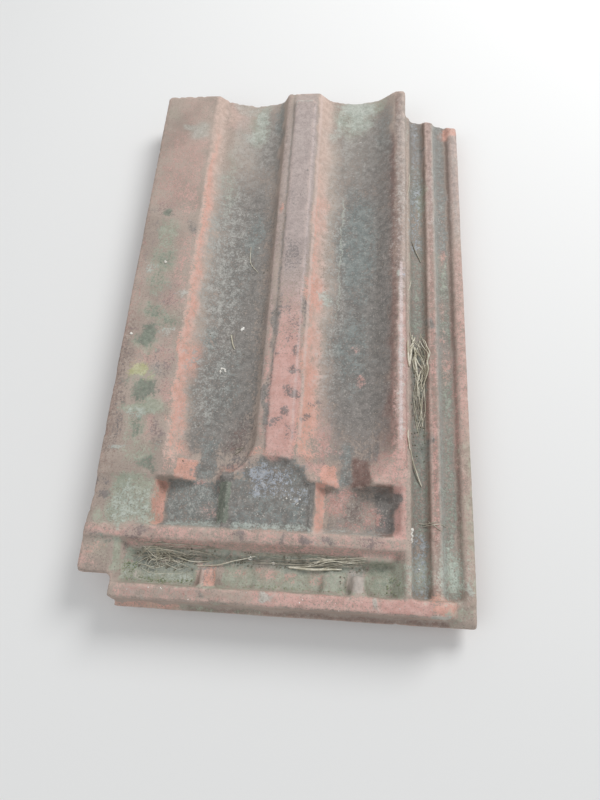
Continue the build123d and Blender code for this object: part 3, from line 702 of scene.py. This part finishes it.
            # Rubbed edges lie over the clay's own colours, but under film and growth.
            if layer is ORANGE:
                worn = {SHARE: rubbed, UNDER: base, OVER: linear(self.worn)}
                base = clay.add(MIX, worn, MIXED, **COLOURS)
            shares[layer.name] = share
        return base, shares["crust"]

    def lines(self, clay: ClaySheet, base: Socket) -> Socket:
        """Draw the thin pale lines along the tile, broken and a little crooked: painted highlights along
        the edges, and two cracks.

        Args:
            clay: the clay's nodes.
            base: the clay's colour so far.

        Returns:
            The colour with the lines.
        """
        axes = clay.add("ShaderNodeSeparateXYZ", {0: clay.place}).node.outputs
        broken = clay.add(RANGE, {VALUE: clay.grains["mottle"], LOW: 0.2, HIGH: 0.56}, **EASED)
        broken = clay.add(MATH, {0: broken, 1: clay.marks["top"]}, **TIMES)
        crooked = clay.add(MATH, {0: clay.grains["blotch"], 1: 0.5}, **MINUS)
        for line in HIGHLIGHTS_AND_CRACKS:
            wander = self.line_wander_mm * line.wander * MM
            across = clay.add(MATH, {0: crooked, 1: wander, 2: axes[0]}, **TIMES_PLUS)
            across = clay.add(MATH, {0: across, 1: line.x * MM}, **MINUS)
            across = clay.add(MATH, {0: across}, operation="ABSOLUTE")
            edge = {LOW: 1.5 * line.half * MM, HIGH: 0.3 * line.half * MM, MOST: line.strength}
            share = clay.add(RANGE, {VALUE: across, **edge}, **EASED)
            for end, fade in ((line.near, self.line_start_mm), (line.far, -self.line_stop_mm)):
                along = {VALUE: axes[1], LOW: (end - fade) * MM, HIGH: (end + fade) * MM}
                share = clay.add(MATH, {0: share, 1: clay.add(RANGE, along, **EASED)}, **TIMES)
            share = clay.add(MATH, {0: share, 1: broken}, **TIMES)
            base = clay.add(MIX, {SHARE: share, UNDER: base, OVER: linear(line.colour)}, MIXED, **COLOURS)
        return base

    def speckle(self, clay: ClaySheet, base: Socket) -> Socket:
        """Scatter pale and dark grains over the clay, coarser than real so that they show.

        Args:
            clay: the clay's nodes.
            base: the clay's colour so far.

        Returns:
            The speckled colour's socket.
        """
        marks = clay.marks
        film = clay.add(MATH, {0: marks["film"], 1: 0.55, 2: 0.3}, **TIMES_PLUS)
        film = clay.add(MATH, {0: film, 1: marks["rough"]}, **TIMES)
        clean = clay.add(MATH, {0: marks["peach"], 1: -0.3, 2: 0.5}, **TIMES_PLUS)
        clean = clay.add(MATH, {0: marks["rose"], 1: -0.15, 2: clean}, **TIMES_PLUS)
        spacing = 1.0 / (self.grain_spacing_mm * MM)
        cells = clay.add("ShaderNodeTexVoronoi", {"Vector": clay.place, "Scale": spacing}).node.outputs
        pick = clay.add("ShaderNodeSeparateColor", {0: cells["Color"]})
        pick = clay.add(RANGE, {VALUE: pick, LOW: 0.86, HIGH: 0.9}, **EASED)
        # For each kind: the noise, where its grains begin and are full, how strong and where they are.
        for grain, low, high, most, where, colour in (
            (clay.grains["salt"], 0.54, 0.7, 0.75, film, self.salt),
            (clay.grains["speck"], 0.47, 0.3, 1.0, clean, self.pepper),
            (cells["Distance"], 0.2, 0.1, 0.5, pick, self.salt),
        ):
            share = clay.add(RANGE, {VALUE: grain, LOW: low, HIGH: high, MOST: most}, **EASED)
            share = clay.add(MATH, {0: share, 1: where}, **TIMES)
            base = clay.add(MIX, {SHARE: share, UNDER: base, OVER: linear(colour)}, MIXED, **COLOURS)
        return base


@dataclass(frozen=True)
class LooseFinish:
    """The finish of something loose that lies on the tile: two tones, dry and matt."""

    name: str
    dark: str
    light: str
    grain_mm: float
    roughness: float
    relief_mm: float = 0.3
    clouds: float = 4.0

    def build(self) -> Material:
        """Make the material.

        Returns:
            The material.
        """
        material, sheet, place = new_material(self.name)
        noises = []
        for size, detail in ((self.clouds * self.grain_mm, 3), (self.grain_mm, 4)):
            grain = {"Vector": place, "Scale": 1.0 / (size * MM), "Detail": detail, "Roughness": 0.65}
            noises.append(sheet.add(NOISE, grain))
        cloud, fine = noises
        cloud = sheet.add(RANGE, {VALUE: cloud, LOW: 0.38, HIGH: 0.62}, **EASED)
        tones = {SHARE: cloud, UNDER: linear(self.dark), OVER: linear(self.light)}
        base = sheet.add(MIX, tones, MIXED, **COLOURS)
        darker = sheet.add(RANGE, {VALUE: fine, LOW: 0.52, HIGH: 0.4, MOST: 0.5}, **EASED)
        base = sheet.add(MIX, {SHARE: darker, UNDER: base, OVER: linear(self.dark)}, MIXED, **COLOURS)
        bump = sheet.add(BUMP, {"Height": fine, "Strength": 0.5, "Distance": self.relief_mm * MM})
        skin = sheet.add(SKIN, {
            "Base Color": base, "Roughness": self.roughness, "Specular IOR Level": 0.3, "Normal": bump,
        })
        sheet.add(OUTPUT, {"Surface": skin})
        return material


class Litter(Enum):
    """What lies loose on the tile, with its finish."""

    # Straw is split hollow stalk: pale, fibrous, with a faint waxy sheen while it is dry and a dull
    # grey once it has rotted.
    DRY_STRAW = LooseFinish("straw, dry", "#bdb7a3", "#e0dbcb", 2.0, 0.75)
    OLD_STRAW = LooseFinish("straw, rotted", "#969082", "#bbb5a6", 2.0, 0.8)
    # Earth, grit and moss are crumbs: they scatter light and look soft-edged and dusty.
    EARTH = LooseFinish("earth, dry crumbs", "#716d62", "#948f81", 1.5, 0.95)
    GRIT = LooseFinish("grit, pale", "#d6d2c9", "#f2f0ea", 2.0, 0.9)
    MOSS = LooseFinish("moss, dry cushions", "#858d72", "#a8ad90", 1.5, 0.95)


@dataclass(frozen=True)
class Ripple:
    """Smooth noise over the tile, of about -1 to 1, with a size in millimetres and a seed."""

    size_mm: float
    seed: int
    seed_shift: float = 17.3

    def at(self, places: np.ndarray) -> np.ndarray:
        """Work out the noise at each place, one row of X, Y and Z in millimetres each."""
        scaled = places / self.size_mm + self.seed_shift * self.seed
        return np.array([noise.noise(place) for place in scaled])


@dataclass
class TileBody:
    """The whole tile, softened, worn and stained, in millimetres."""

    # The even grid, and how it is thinned.
    voxel: float = 1.35
    weld: float = 0.01
    triangle_limit: int = 192_000
    flat_underside: float = 0.9

    # How edges are rounded, and how bends are found.
    rounding_passes: int = 3
    rounding_pull: float = 0.6
    most_rounding: float = 1.1
    bend_passes: int = 12
    bend_pull: float = 0.7

    # Depths of wear and heights of what has grown or settled.
    unevenness: float = 0.22
    pitting: float = 0.06
    chip_depth: float = 0.7
    crust_height: float = 0.25
    soil_height: float = 1.4
    coarse_share: float = 0.6
    ragged_nicks: float = 0.25

    # How far stains stray from where they are drawn, and how much calmer their edges are in places.
    tremble: Pair = (0.5, 1.0)
    wide_drift: float = 5.0
    narrow_drift: float = 2.5
    tail_calm: float = 0.7
    right_calm: float = 0.15

    # Where each mask begins and where it is full.
    facing_up: Pair = (-0.15, 0.25)
    worn_bend: Pair = (0.12, 0.6)
    hollow_bend: Pair = (0.1, 0.8)
    chip_noise: Pair = (0.3, 0.6)
    crust_noise: Pair = (-0.2, 0.4)
    soil_noise: Pair = (-0.3, 0.5)
    nick_reach: Pair = (1.1, 0.3)
    calm_tail: Pair = (50.0, 170.0)
    calm_right: Pair = (10.0, 30.0)
    calm_head: Pair = (-110.0, -90.0)

    # Noises that move the stains and roughen the surface.
    broad: Ripple = Ripple(14.0, 21)
    long: Ripple = Ripple(13.0, 22)
    narrow: Ripple = Ripple(5.0, 23)
    small: Ripple = Ripple(4.5, 11)
    coarse: Ripple = Ripple(18.0, 3)
    pits: Ripple = Ripple(3.0, 7)
    waves: Ripple = Ripple(32.0, 5)

    def build(self, source: Object, finish: Material) -> Object:
        """Make the tile from its solid.

        Args:
            source: the tile's solid.
            finish: the clay's material.

        Returns:
            The finished object.
        """
        mesh = source.data.copy()
        shape = bmesh.new()
        shape.from_mesh(mesh)
        bmesh.ops.remove_doubles(shape, verts=shape.verts, dist=self.weld * MM)
        shape.to_mesh(mesh)
        shape.free()
        tile = add_object("tile_clay", mesh)
        remesh = tile.modifiers.new("even grid", "REMESH")
        remesh.mode = "VOXEL"
        remesh.voxel_size = self.voxel * MM
        bake_modifiers(tile)
        self.soften(tile.data)
        painted = self.paint(tile.data)
        self.wear_down(tile.data, painted)
        self.thin_out(tile)
        tile.data.shade_smooth()
        tile.data.materials.clear()
        tile.data.materials.append(finish)
        return tile

    def soften(self, mesh: Mesh) -> None:
        """Round the edges of the even grid.

        Args:
            mesh: the even grid of the tile, changed in place.
        """
        start = read_places(mesh)
        drift = smoothed(start, read_pairs(mesh), self.rounding_passes, self.rounding_pull) - start
        length = np.linalg.norm(drift, axis=1, keepdims=True)
        held = np.minimum(1.0, self.most_rounding / np.maximum(length, TINY))
        write_places(mesh, start + drift * held)

    def paint(self, mesh: Mesh) -> dict[str, np.ndarray]:
        """Paint the stains on the mesh as attributes.

        Args:
            mesh: the tile's mesh, given one attribute for each stain.

        Returns:
            The painted values by name.
        """
        places = read_places(mesh)
        normals = read_normals(mesh)
        smooth = smoothed(places, read_pairs(mesh), self.bend_passes, self.bend_pull)
        bend = ((smooth - places) * normals).sum(axis=1)
        broad = self.broad.at(places)
        narrow = self.narrow.at(places)
        spots = Spots(
            x=places[:, 0] + self.tremble[0] * narrow,
            y=places[:, 1] + self.tremble[1] * broad,
            z=places[:, 2],
            loose_x=places[:, 0] + self.wide_drift * broad + self.narrow_drift * narrow,
            loose_y=places[:, 1] + self.wide_drift * self.long.at(places) - self.narrow_drift * narrow,
        )
        top = smooth_step(*self.facing_up, normals[:, 2])
        painted = {}
        for layer in LAYERS:
            covers = [mark.cover(spots) for mark in layer.marks]
            painted[layer.name] = np.maximum(np.max(covers, axis=0), 0.0) * top
        tail = self.tail_calm * smooth_step(*self.calm_tail, spots.y)
        right = self.right_calm * smooth_step(*self.calm_right, spots.x)
        right *= smooth_step(*self.calm_head, spots.y)
        painted["rough"] = 1.0 - np.maximum(tail, right)
        painted["top"] = top
        painted["under"] = 1.0 - top
        painted["wear"] = smooth_step(*self.worn_bend, -bend)
        # Hollows, which the clay's material darkens as painted shade.
        painted["hollow"] = smooth_step(*self.hollow_bend, bend)
        for name, value in painted.items():
            write_value(mesh, name, value)
        return painted

    def wear_down(self, mesh: Mesh, painted: dict[str, np.ndarray]) -> None:
        """Chip the edges, break out the nicks and raise the crusts.

        Args:
            mesh: the tile's mesh, changed in place.
            painted: the painted values by name.
        """
        places = read_places(mesh)
        normals = read_normals(mesh)
        small = self.small.at(places)
        pits = self.pits.at(places)
        crumbly = small + self.coarse_share * self.coarse.at(places)
        chips = painted["wear"] * smooth_step(*self.chip_noise, crumbly)
        shift = self.unevenness * self.waves.at(places) + self.pitting * pits - self.chip_depth * chips
        shift += self.crust_height * painted["crust"] * smooth_step(*self.crust_noise, pits)
        shift += self.soil_height * painted["soil"] * smooth_step(*self.soil_noise, small)
        write_places(mesh, places + normals * shift[:, None])
        places = read_places(mesh)
        for nick in NICKS:
            reach = np.hypot((places[:, 0] - nick.x) / nick.across, (places[:, 1] - nick.y) / nick.along)
            depth = nick.depth * smooth_step(*self.nick_reach, reach + self.ragged_nicks * small)
            places[:, 2] -= depth * painted["top"]
        write_places(mesh, places)

    def thin_out(self, tile: Object) -> None:
        """Thin the mesh of the underside, where nothing fine is painted.

        Args:
            tile: the tile's object, changed in place.
        """
        count = sum(len(face.vertices) - 2 for face in tile.data.polygons)
        LOG.info("tile_clay has %d triangles before it is thinned", count)
        under = read_rows(tile.data.attributes["under"].data, "value", 1)[:, 0]
        group = tile.vertex_groups.new(name="underside")
        group.add([int(number) for number in np.flatnonzero(under > self.flat_underside)], 1.0, "REPLACE")
        fewer = tile.modifiers.new("fewer faces", "DECIMATE")
        fewer.ratio = min(1.0, self.triangle_limit / count)
        fewer.vertex_group = group.name
        bake_modifiers(tile)
        LOG.info("tile_clay keeps %d faces", len(tile.data.polygons))


@dataclass
class Ground:
    """Finds the height of the tile's upper surface, for what lies on it, in millimetres."""

    tile: Object
    sky: float = 60.0

    def height(self, x: float, y: float) -> float | None:
        """Look straight down on the tile, and give the height found or None beside the tile."""
        hit, place, _, _ = self.tile.ray_cast((x * MM, y * MM, self.sky * MM), (0.0, 0.0, -1.0))
        return place.z / MM if hit else None


@dataclass(frozen=True)
class Strand:
    """One straw or fibre, from end to end, in millimetres."""

    start: Pair
    end: Pair
    radius: float = 0.4
    sway: float = 2
    lift: float = 0.3


@dataclass(frozen=True)
class Sheaf:
    """A loose bundle of fibres between two areas, in millimetres."""

    near: tuple[float, float, float, float]
    far: tuple[float, float, float, float]
    count: int
    radius: float
    sway: float
    lift: float
    thickness: Pair = (0.6, 1.3)

    def strands(self, chance: random.Random) -> list[Strand]:
        """Draw the bundle's fibres.

        Args:
            chance: the seeded source of chance.

        Returns:
            The fibres.
        """
        made = []
        for _ in range(self.count):
            start = (chance.uniform(*self.near[:2]), chance.uniform(*self.near[2:]))
            end = (chance.uniform(*self.far[:2]), chance.uniform(*self.far[2:]))
            if chance.random() < 0.5:
                start, end = end, start
            radius = self.radius * chance.uniform(*self.thickness)
            sway = self.sway * chance.uniform(-1.0, 1.0)
            made.append(Strand(start, end, radius, sway, self.lift * chance.random()))
        return made


@dataclass
class Straw:
    """Dry grass and straw that has caught in the grooves and the channel."""

    ground: Ground
    kinds: dict[Litter, tuple[Strand | Sheaf, ...]]
    seed: int = 4
    steps: int = 9
    fewest_points: int = 3
    ripple: float = 0.35
    ripple_share: Pair = (0.3, 1.0)
    ripple_turns: float = 9.0
    seat: float = 0.7
    stiffness: float = 0.8
    thin_end: float = 0.6

    def build(self) -> list[Object]:
        """Make one piece of each kind of straw.

        Returns:
            The pieces.
        """
        chance = random.Random(self.seed)
        made = []
        for kind, bundles in self.kinds.items():
            strands = []
            for bundle in bundles:
                strands += bundle.strands(chance) if isinstance(bundle, Sheaf) else [bundle]
            # A bevel of one millimetre lets each point's radius be its own, in millimetres.
            curve = bpy.data.curves.new(kind.name.lower(), "CURVE")
            curve.dimensions = "3D"
            curve.bevel_depth = MM
            curve.bevel_resolution = 1
            curve.resolution_u = 2
            curve.use_fill_caps = True
            for strand in strands:
                self.lay(curve, strand, chance)
            made.append(to_mesh(add_object(f"{kind.name.lower()}_strands", curve), kind.value.build()))
        return made

    def lay(self, curve: bpy.types.Curve, strand: Strand, chance: random.Random) -> None:
        """Lay one strand on the tile.

        Args:
            curve: the curve that the strand is added to.
            strand: the strand.
            chance: the seeded source of chance.
        """
        (x0, y0), (x1, y1) = strand.start, strand.end
        length = math.hypot(x1 - x0, y1 - y0)
        side = ((y1 - y0) / length, -(x1 - x0) / length)
        ripple = self.ripple * strand.sway * chance.uniform(*self.ripple_share)
        phase = chance.uniform(0, 6)
        points = []
        for number in range(self.steps):
            part = number / (self.steps - 1)
            arch = math.sin(math.pi * part)
            aside = strand.sway * arch + ripple * math.sin(self.ripple_turns * part + phase)
            x = x0 + (x1 - x0) * part + side[0] * aside
            y = y0 + (y1 - y0) * part + side[1] * aside
            height = self.ground.height(x, y)
            if height is not None:
                points.append([x, y, height + strand.radius * self.seat + strand.lift * arch])
        if len(points) < self.fewest_points:
            return
        heights = [point[2] for point in points]
        for number in range(1, len(points) - 1):
            bridge = (heights[number - 1] + heights[number + 1]) / 2
            sprung = self.stiffness * bridge + (1 - self.stiffness) * heights[number]
            points[number][2] = max(heights[number], sprung)
        spline = curve.splines.new("NURBS")
        spline.points.add(len(points) - 1)
        for number, (x, y, z) in enumerate(points):
            arch = math.sin(math.pi * (number + 0.5) / len(points))
            taper = self.thin_end + (1 - self.thin_end) * arch
            spline.points[number].co = (x * MM, y * MM, z * MM, 1.0)
            spline.points[number].radius = strand.radius * taper
        spline.order_u = 3
        spline.use_endpoint_u = True


@dataclass(frozen=True)
class Scatter:
    """Crumbs of one size strewn over an area, in millimetres."""

    left: float
    right: float
    near: float
    far: float
    count: int
    size: float
    flat: float = 0.6


@dataclass
class Crumbs:
    """Earth, grit and moss in small lumps that lie on the tile."""

    ground: Ground
    kinds: dict[Litter, tuple[Scatter, ...]]
    seed: int = 9
    sizes: Pair = (0.5, 1.4)
    stretches: Pair = (0.7, 1.3)
    dents: Pair = (0.75, 1.2)
    seat: float = 0.3

    def build(self) -> list[Object]:
        """Make one piece of each kind of crumb.

        Returns:
            The pieces.
        """
        chance = random.Random(self.seed)
        made = []
        for kind, fields in self.kinds.items():
            shape = bmesh.new()
            for field in fields:
                for _ in range(field.count):
                    self.drop(shape, field, chance)
            mesh = bpy.data.meshes.new(f"{kind.name.lower()}_crumbs")
            shape.to_mesh(mesh)
            shape.free()
            mesh.shade_smooth()
            mesh.materials.append(kind.value.build())
            made.append(add_object(mesh.name, mesh))
        return made

    def drop(self, shape: bmesh.types.BMesh, field: Scatter, chance: random.Random) -> None:
        """Add one crumb where it falls.

        Args:
            shape: the mesh that the crumb is added to.
            field: where it may fall and how large it is.
            chance: the seeded source of chance.
        """
        x = chance.uniform(field.left, field.right)
        y = chance.uniform(field.near, field.far)
        size = field.size * chance.uniform(*self.sizes)
        wide = size * chance.uniform(*self.stretches)
        long = size * chance.uniform(*self.stretches)
        high = size * field.flat
        turn = Matrix.Rotation(chance.uniform(0, math.tau), 4, "Z")
        height = self.ground.height(x, y)
        if height is None:
            return
        centre = Vector((x, y, height + self.seat * high)) * MM
        form = Matrix.Translation(centre) @ turn @ Matrix.Diagonal((wide * MM, long * MM, high * MM, 1.0))
        lump = bmesh.ops.create_icosphere(shape, subdivisions=1, radius=0.5, matrix=form)
        for vertex in lump["verts"]:
            vertex.co = centre + (vertex.co - centre) * chance.uniform(*self.dents)


def add_object(name: str, data: bpy.types.ID) -> Object:
    """Put a new object at the origin of the scene.

    Args:
        name: the object's name.
        data: its mesh, curve, camera or light.

    Returns:
        The object.
    """
    thing = bpy.data.objects.new(name, data)
    bpy.context.scene.collection.objects.link(thing)
    return thing


def final_mesh(thing: Object) -> Mesh:
    """Work out the mesh that an object's modifiers or its curve give.

    Args:
        thing: the object, left as it is.

    Returns:
        A new mesh.
    """
    bpy.context.view_layer.update()
    ready = thing.evaluated_get(bpy.context.evaluated_depsgraph_get())
    return bpy.data.meshes.new_from_object(ready)


def bake_modifiers(thing: Object) -> None:
    """Put an object's modifiers into its mesh.

    Args:
        thing: the object, changed in place.
    """
    mesh = final_mesh(thing)
    thing.modifiers.clear()
    thing.data = mesh


def to_mesh(thing: Object, finish: Material) -> Object:
    """Turn a curve object into a mesh object of the same name.

    Args:
        thing: the curve's object, which is taken away.
        finish: the material of the mesh.

    Returns:
        The mesh's object.
    """
    mesh = final_mesh(thing)
    name = thing.name
    bpy.data.objects.remove(thing)
    mesh.materials.clear()
    mesh.materials.append(finish)
    mesh.shade_smooth()
    return add_object(name, mesh)


def read_rows(items: bpy.types.bpy_prop_collection, name: str, width: int, kind: type = np.float32
              ) -> np.ndarray:
    """Read one value of each item of a mesh.

    Args:
        items: the mesh's vertices, edges, normals or attribute values.
        name: the value's name.
        width: how many numbers it has.
        kind: their kind.

    Returns:
        One row for each item.
    """
    flat = np.empty(len(items) * width, kind)
    items.foreach_get(name, flat)
    return flat.reshape(-1, width)


def read_places(mesh: Mesh) -> np.ndarray:
    """Read the vertices' places in millimetres, a row of X, Y and Z each."""
    return read_rows(mesh.vertices, "co", 3).astype(float) / MM


def read_normals(mesh: Mesh) -> np.ndarray:
    """Read the vertices' normals, a row each."""
    return read_rows(mesh.vertex_normals, "vector", 3).astype(float)


def read_pairs(mesh: Mesh) -> np.ndarray:
    """Read the two vertex numbers of each edge."""
    return read_rows(mesh.edges, "vertices", 2, np.int32)


def write_places(mesh: Mesh, places: np.ndarray) -> None:
    """Move the vertices to places in millimetres, a row of X, Y and Z each."""
    mesh.vertices.foreach_set("co", (places * MM).astype(np.float32).ravel())
    mesh.update()


def write_value(mesh: Mesh, name: str, value: np.ndarray) -> None:
    """Store one number at each vertex, as an attribute."""
    layer = mesh.attributes.new(name, "FLOAT", "POINT")
    layer.data.foreach_set("value", value.astype(np.float32))


def smoothed(places: np.ndarray, pairs: np.ndarray, passes: int, pull: float) -> np.ndarray:
    """Pull each vertex towards the middle of its neighbours.

    Args:
        places: the vertices' places, left as they are.
        pairs: the vertices joined by each edge.
        passes: how many times they are pulled.
        pull: the share of the way that each pass takes.

    Returns:
        The smoothed places.
    """
    ends = np.concatenate((pairs[:, 0], pairs[:, 1]))
    others = np.concatenate((pairs[:, 1], pairs[:, 0]))
    count = np.maximum(np.bincount(ends, minlength=len(places)), 1)[:, None]
    smooth = places.copy()
    for _ in range(passes):
        sums = [np.bincount(ends, weights=axis[others], minlength=len(places)) for axis in smooth.T]
        smooth += pull * (np.stack(sums, axis=1) / count - smooth)
    return smooth


@dataclass(frozen=True)
class Lamp:
    """A round soft light that points at the tile, in metres and watts."""

    name: str
    place: Place
    size: float
    power: float

    def build(self) -> None:
        """Hang the lamp."""
        data = bpy.data.lights.new(self.name, "AREA")
        data.shape = "DISK"
        data.size = self.size
        data.energy = self.power
        lamp = add_object(self.name, data)
        lamp.location = self.place
        lamp.rotation_mode = "QUATERNION"
        lamp.rotation_quaternion = (-Vector(self.place)).to_track_quat("-Z", "Y")


@dataclass(frozen=True)
class Studio:
    """The camera, floor and light around the tile, in metres."""

    # The camera stands and turns as the photograph's straight edges tell.
    eye: Place = (0.0526, -0.2171, 0.4017)
    right: Place = (0.9942, 0.0635, -0.0871)
    down: Place = (0.0276, -0.9311, -0.3638)
    forward: Place = (-0.1042, 0.3593, -0.9274)
    focal_px: float = 574.95
    picture_px: float = 800.0
    sensor_mm: float = 36.0
    sight: Pair = (0.01, 20.0)
    floor_half: float = 3.0
    floor_level: float = -0.0005
    fill_strength: float = 0.55
    # The main light comes from the right and behind.
    lamps: tuple[Lamp, ...] = (
        Lamp("key", (0.75, 0.85, 1.0), 0.7, 15.0),
        Lamp("fill", (-0.8, -0.6, 1.1), 1.2, 4.0),
    )

    def camera(self) -> None:
        """Place the camera at the photograph's viewing angle."""
        data = bpy.data.cameras.new("camera")
        data.sensor_width = self.sensor_mm
        data.lens = self.sensor_mm * self.focal_px / self.picture_px
        data.clip_start, data.clip_end = self.sight
        camera = add_object("camera", data)
        turn = Matrix((Vector(self.right), -Vector(self.down), -Vector(self.forward))).transposed()
        camera.matrix_world = Matrix.Translation(self.eye) @ turn.to_4x4()
        bpy.context.scene.camera = camera

    def floor(self) -> None:
        """Lay a plain pale floor that shows white to the camera but takes the shadow."""
        shape = bmesh.new()
        bmesh.ops.create_grid(shape, x_segments=1, y_segments=1, size=self.floor_half)
        mesh = bpy.data.meshes.new("floor")
        shape.to_mesh(mesh)
        shape.free()
        floor = add_object("floor", mesh)
        floor.location.z = self.floor_level
        # Matt painted board: even and pale, with a soft shadow and no gloss.
        material, sheet, _ = new_material("board, painted matt")
        paint = {"Base Color": linear("#e9e9e8"), "Roughness": 0.9, "Specular IOR Level": 0.1}
        sheet.add(OUTPUT, {"Surface": sheet.add(SKIN, paint)})
        mesh.materials.append(material)

    def light(self) -> None:
        """Light the tile softly, against a backdrop that shows white to the camera."""
        world = bpy.data.worlds.new("studio")
        bpy.context.scene.world = world
        world.use_nodes = True
        sheet = NodeSheet(world.node_tree)
        sheet.tree.nodes.clear()
        path = sheet.add("ShaderNodeLightPath").node.outputs
        seen = sheet.add(MATH, {0: path["Is Camera Ray"], 1: path["Is Glossy Ray"]}, operation="MAXIMUM")
        seen = sheet.add(MATH, {0: seen, 1: path["Is Transmission Ray"]}, operation="MAXIMUM")
        fill, white = (
            sheet.add("ShaderNodeBackground", {"Color": linear(colour), "Strength": strength})
            for colour, strength in (("#eef0f2", self.fill_strength), ("#f4f4f4", 1.0))
        )
        both = sheet.add("ShaderNodeMixShader", {0: seen, 1: fill, 2: white})
        sheet.add("ShaderNodeOutputWorld", {"Surface": both})
        for lamp in self.lamps:
            lamp.build()


STRAW = {
    Litter.DRY_STRAW: (
        Strand((85.8, -22), (86.8, -42), 0.95, 0.6), Strand((91.5, -15), (87.3, -40), 0.9, 1, 1.2),
        Strand((92, -28), (93.5, -46), 0.9, 1, 1.5), Strand((90, -13), (96.5, -40), 0.6, 2.5, 1.5),
        Strand((95, -17), (97.5, -44), 0.45, -4, 1.8), Strand((97, -16), (100, -36), 0.4, -2.5, 2),
        Strand((100, -34), (95.5, -58), 0.5, -2, 2), Strand((98.5, -42), (96, -56), 0.45, 1, 1),
        Strand((95.5, -42), (93.5, -62), 0.55, 1.2, 1.2), Strand((87, -14), (96, -22), 0.3, 2, 2),
        Strand((86, 20), (89, 34), 0.25, 0.5), Strand((86, 110), (88, 134), 0.25, 0.4),
        Sheaf((89, 98, -26, -9), (91, 99, -60, -36), 13, 0.28, 7, 2.4),
        Sheaf((92, 99, -64, -44), (93, 97, -94, -78), 7, 0.22, 3, 1.8),
        Sheaf((-94, -70, -190, -176), (-78, -54, -191, -177), 30, 0.16, 6, 2.5),
        Sheaf((8, 22, -186, -181), (36, 62, -184, -177), 12, 0.2, 2.5, 2),
        Strand((10, -185), (44, -184.3), 0.75, 0.8, 1), Strand((-50, -187.5), (-12, -179), 0.35, 1.5, 1),
        Strand((-70, -181), (-40, -184), 0.3, 2, 1), Strand((28, -178), (58, -180.5), 0.3, 1, 1),
        Strand((85.5, -90), (87, -104), 0.6, 0.5), Strand((93, -152), (104, -151), 0.22, 0.6, 0.5),
        Strand((-38, 62), (-30, 36), 0.25, 3.5, 0.4), Strand((-46, -18), (-42, -30), 0.5, 0.4),
        Strand((87, -103), (95.5, -127), 0.55, 0.6, 1.2),
        Strand((96, -154), (111, -153), 0.22, -0.8, 0.5),
    ),
    Litter.OLD_STRAW: (
        Sheaf((91, 99, -60, -40), (92, 98, -96, -70), 9, 0.24, 4, 1.5),
        Strand((90, 71), (97, 52), 0.45, 0.3), Strand((-45, -18), (-44, -24), 0.35, 0.3),
        Sheaf((-95, -60, -188, -174), (-70, -30, -184, -176), 16, 0.22, 4, 1.5),
        Sheaf((-30, 10, -184, -176), (20, 60, -184, -177), 12, 0.22, 3, 1.5),
        Strand((-34, -112), (-27, -106), 0.3, 0.6), Strand((-33, -109), (-28, -107), 0.25, -0.6),
        Strand((99, -150), (108, -157), 0.3, 0.8),
    ),
}

CRUMBS = {
    Litter.EARTH: (
        Scatter(-92, 60, -186, -177, 110, 1.2), Scatter(-90, -52, -191, -180, 60, 1.3),
        Scatter(88, 98, -110, -40, 60, 1), Scatter(43, 47, -196, -189, 10, 1),
        Scatter(-70, -20, -120, 60, 18, 0.9),
    ),
    Litter.GRIT: (
        Scatter(-51.5, -46.5, -50, -46, 12, 1.4, 0.4), Scatter(-38.5, -36.5, -14.5, -12, 8, 1.8, 0.5),
        Scatter(-103, -101, 38, 40, 8, 1.7, 0.5), Scatter(-120, -117, -25, -23, 4, 1.2),
        Scatter(92.5, 93.5, -181.5, -180.5, 3, 1.2), Scatter(-16, -13, -182, -180, 6, 1.3),
        Scatter(-2, 0, -184, -182, 3, 1.4), Scatter(4, 16, -147, -139, 7, 1.3, 0.4),
        Scatter(86.5, 88.8, -167, -156, 16, 2, 0.35), Scatter(46, 48, 168, 170, 3, 0.9),
        Scatter(-32, -30, 59, 61, 2, 1), Scatter(-95, 80, -210, -202, 16, 0.7, 0.4),
        Scatter(-25, 20, -163, -120, 26, 0.8, 0.4), Scatter(-68, -25, -100, 120, 22, 0.7, 0.4),
    ),
    Litter.MOSS: (
        Scatter(-98, -91, -194, -187, 40, 0.9, 0.6), Scatter(-76, -70, -200, -197, 24, 0.8, 0.6),
        Scatter(-96, -52, -199, -196, 60, 0.8, 0.7), Scatter(-30, 80, -199, -197, 60, 0.7, 0.7),
        Scatter(72, 82, -197, -188, 24, 0.9, 0.8),
    ),
}


def attach(piece: Object) -> None:
    """Let a piece ride on the tile's body.

    Args:
        piece: the piece.
    """
    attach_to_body(piece, ROOT)
    LOG.info("piece %s with %d faces", piece.name, len(piece.data.polygons))


def main() -> None:
    """Build the scene."""
    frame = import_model()
    studio = Studio()
    studio.camera()
    tile = TileBody().build(frame["nodes"]["roof_tile"], ClayFinish().build())
    attach(tile)
    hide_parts("roof_tile")
    bpy.context.view_layer.update()
    ground = Ground(tile)
    for piece in Straw(ground, STRAW).build() + Crumbs(ground, CRUMBS).build():
        attach(piece)
    studio.floor()
    studio.light()
    bpy.context.scene.view_settings.view_transform = "Standard"


if __name__ == "__main__":
    main()
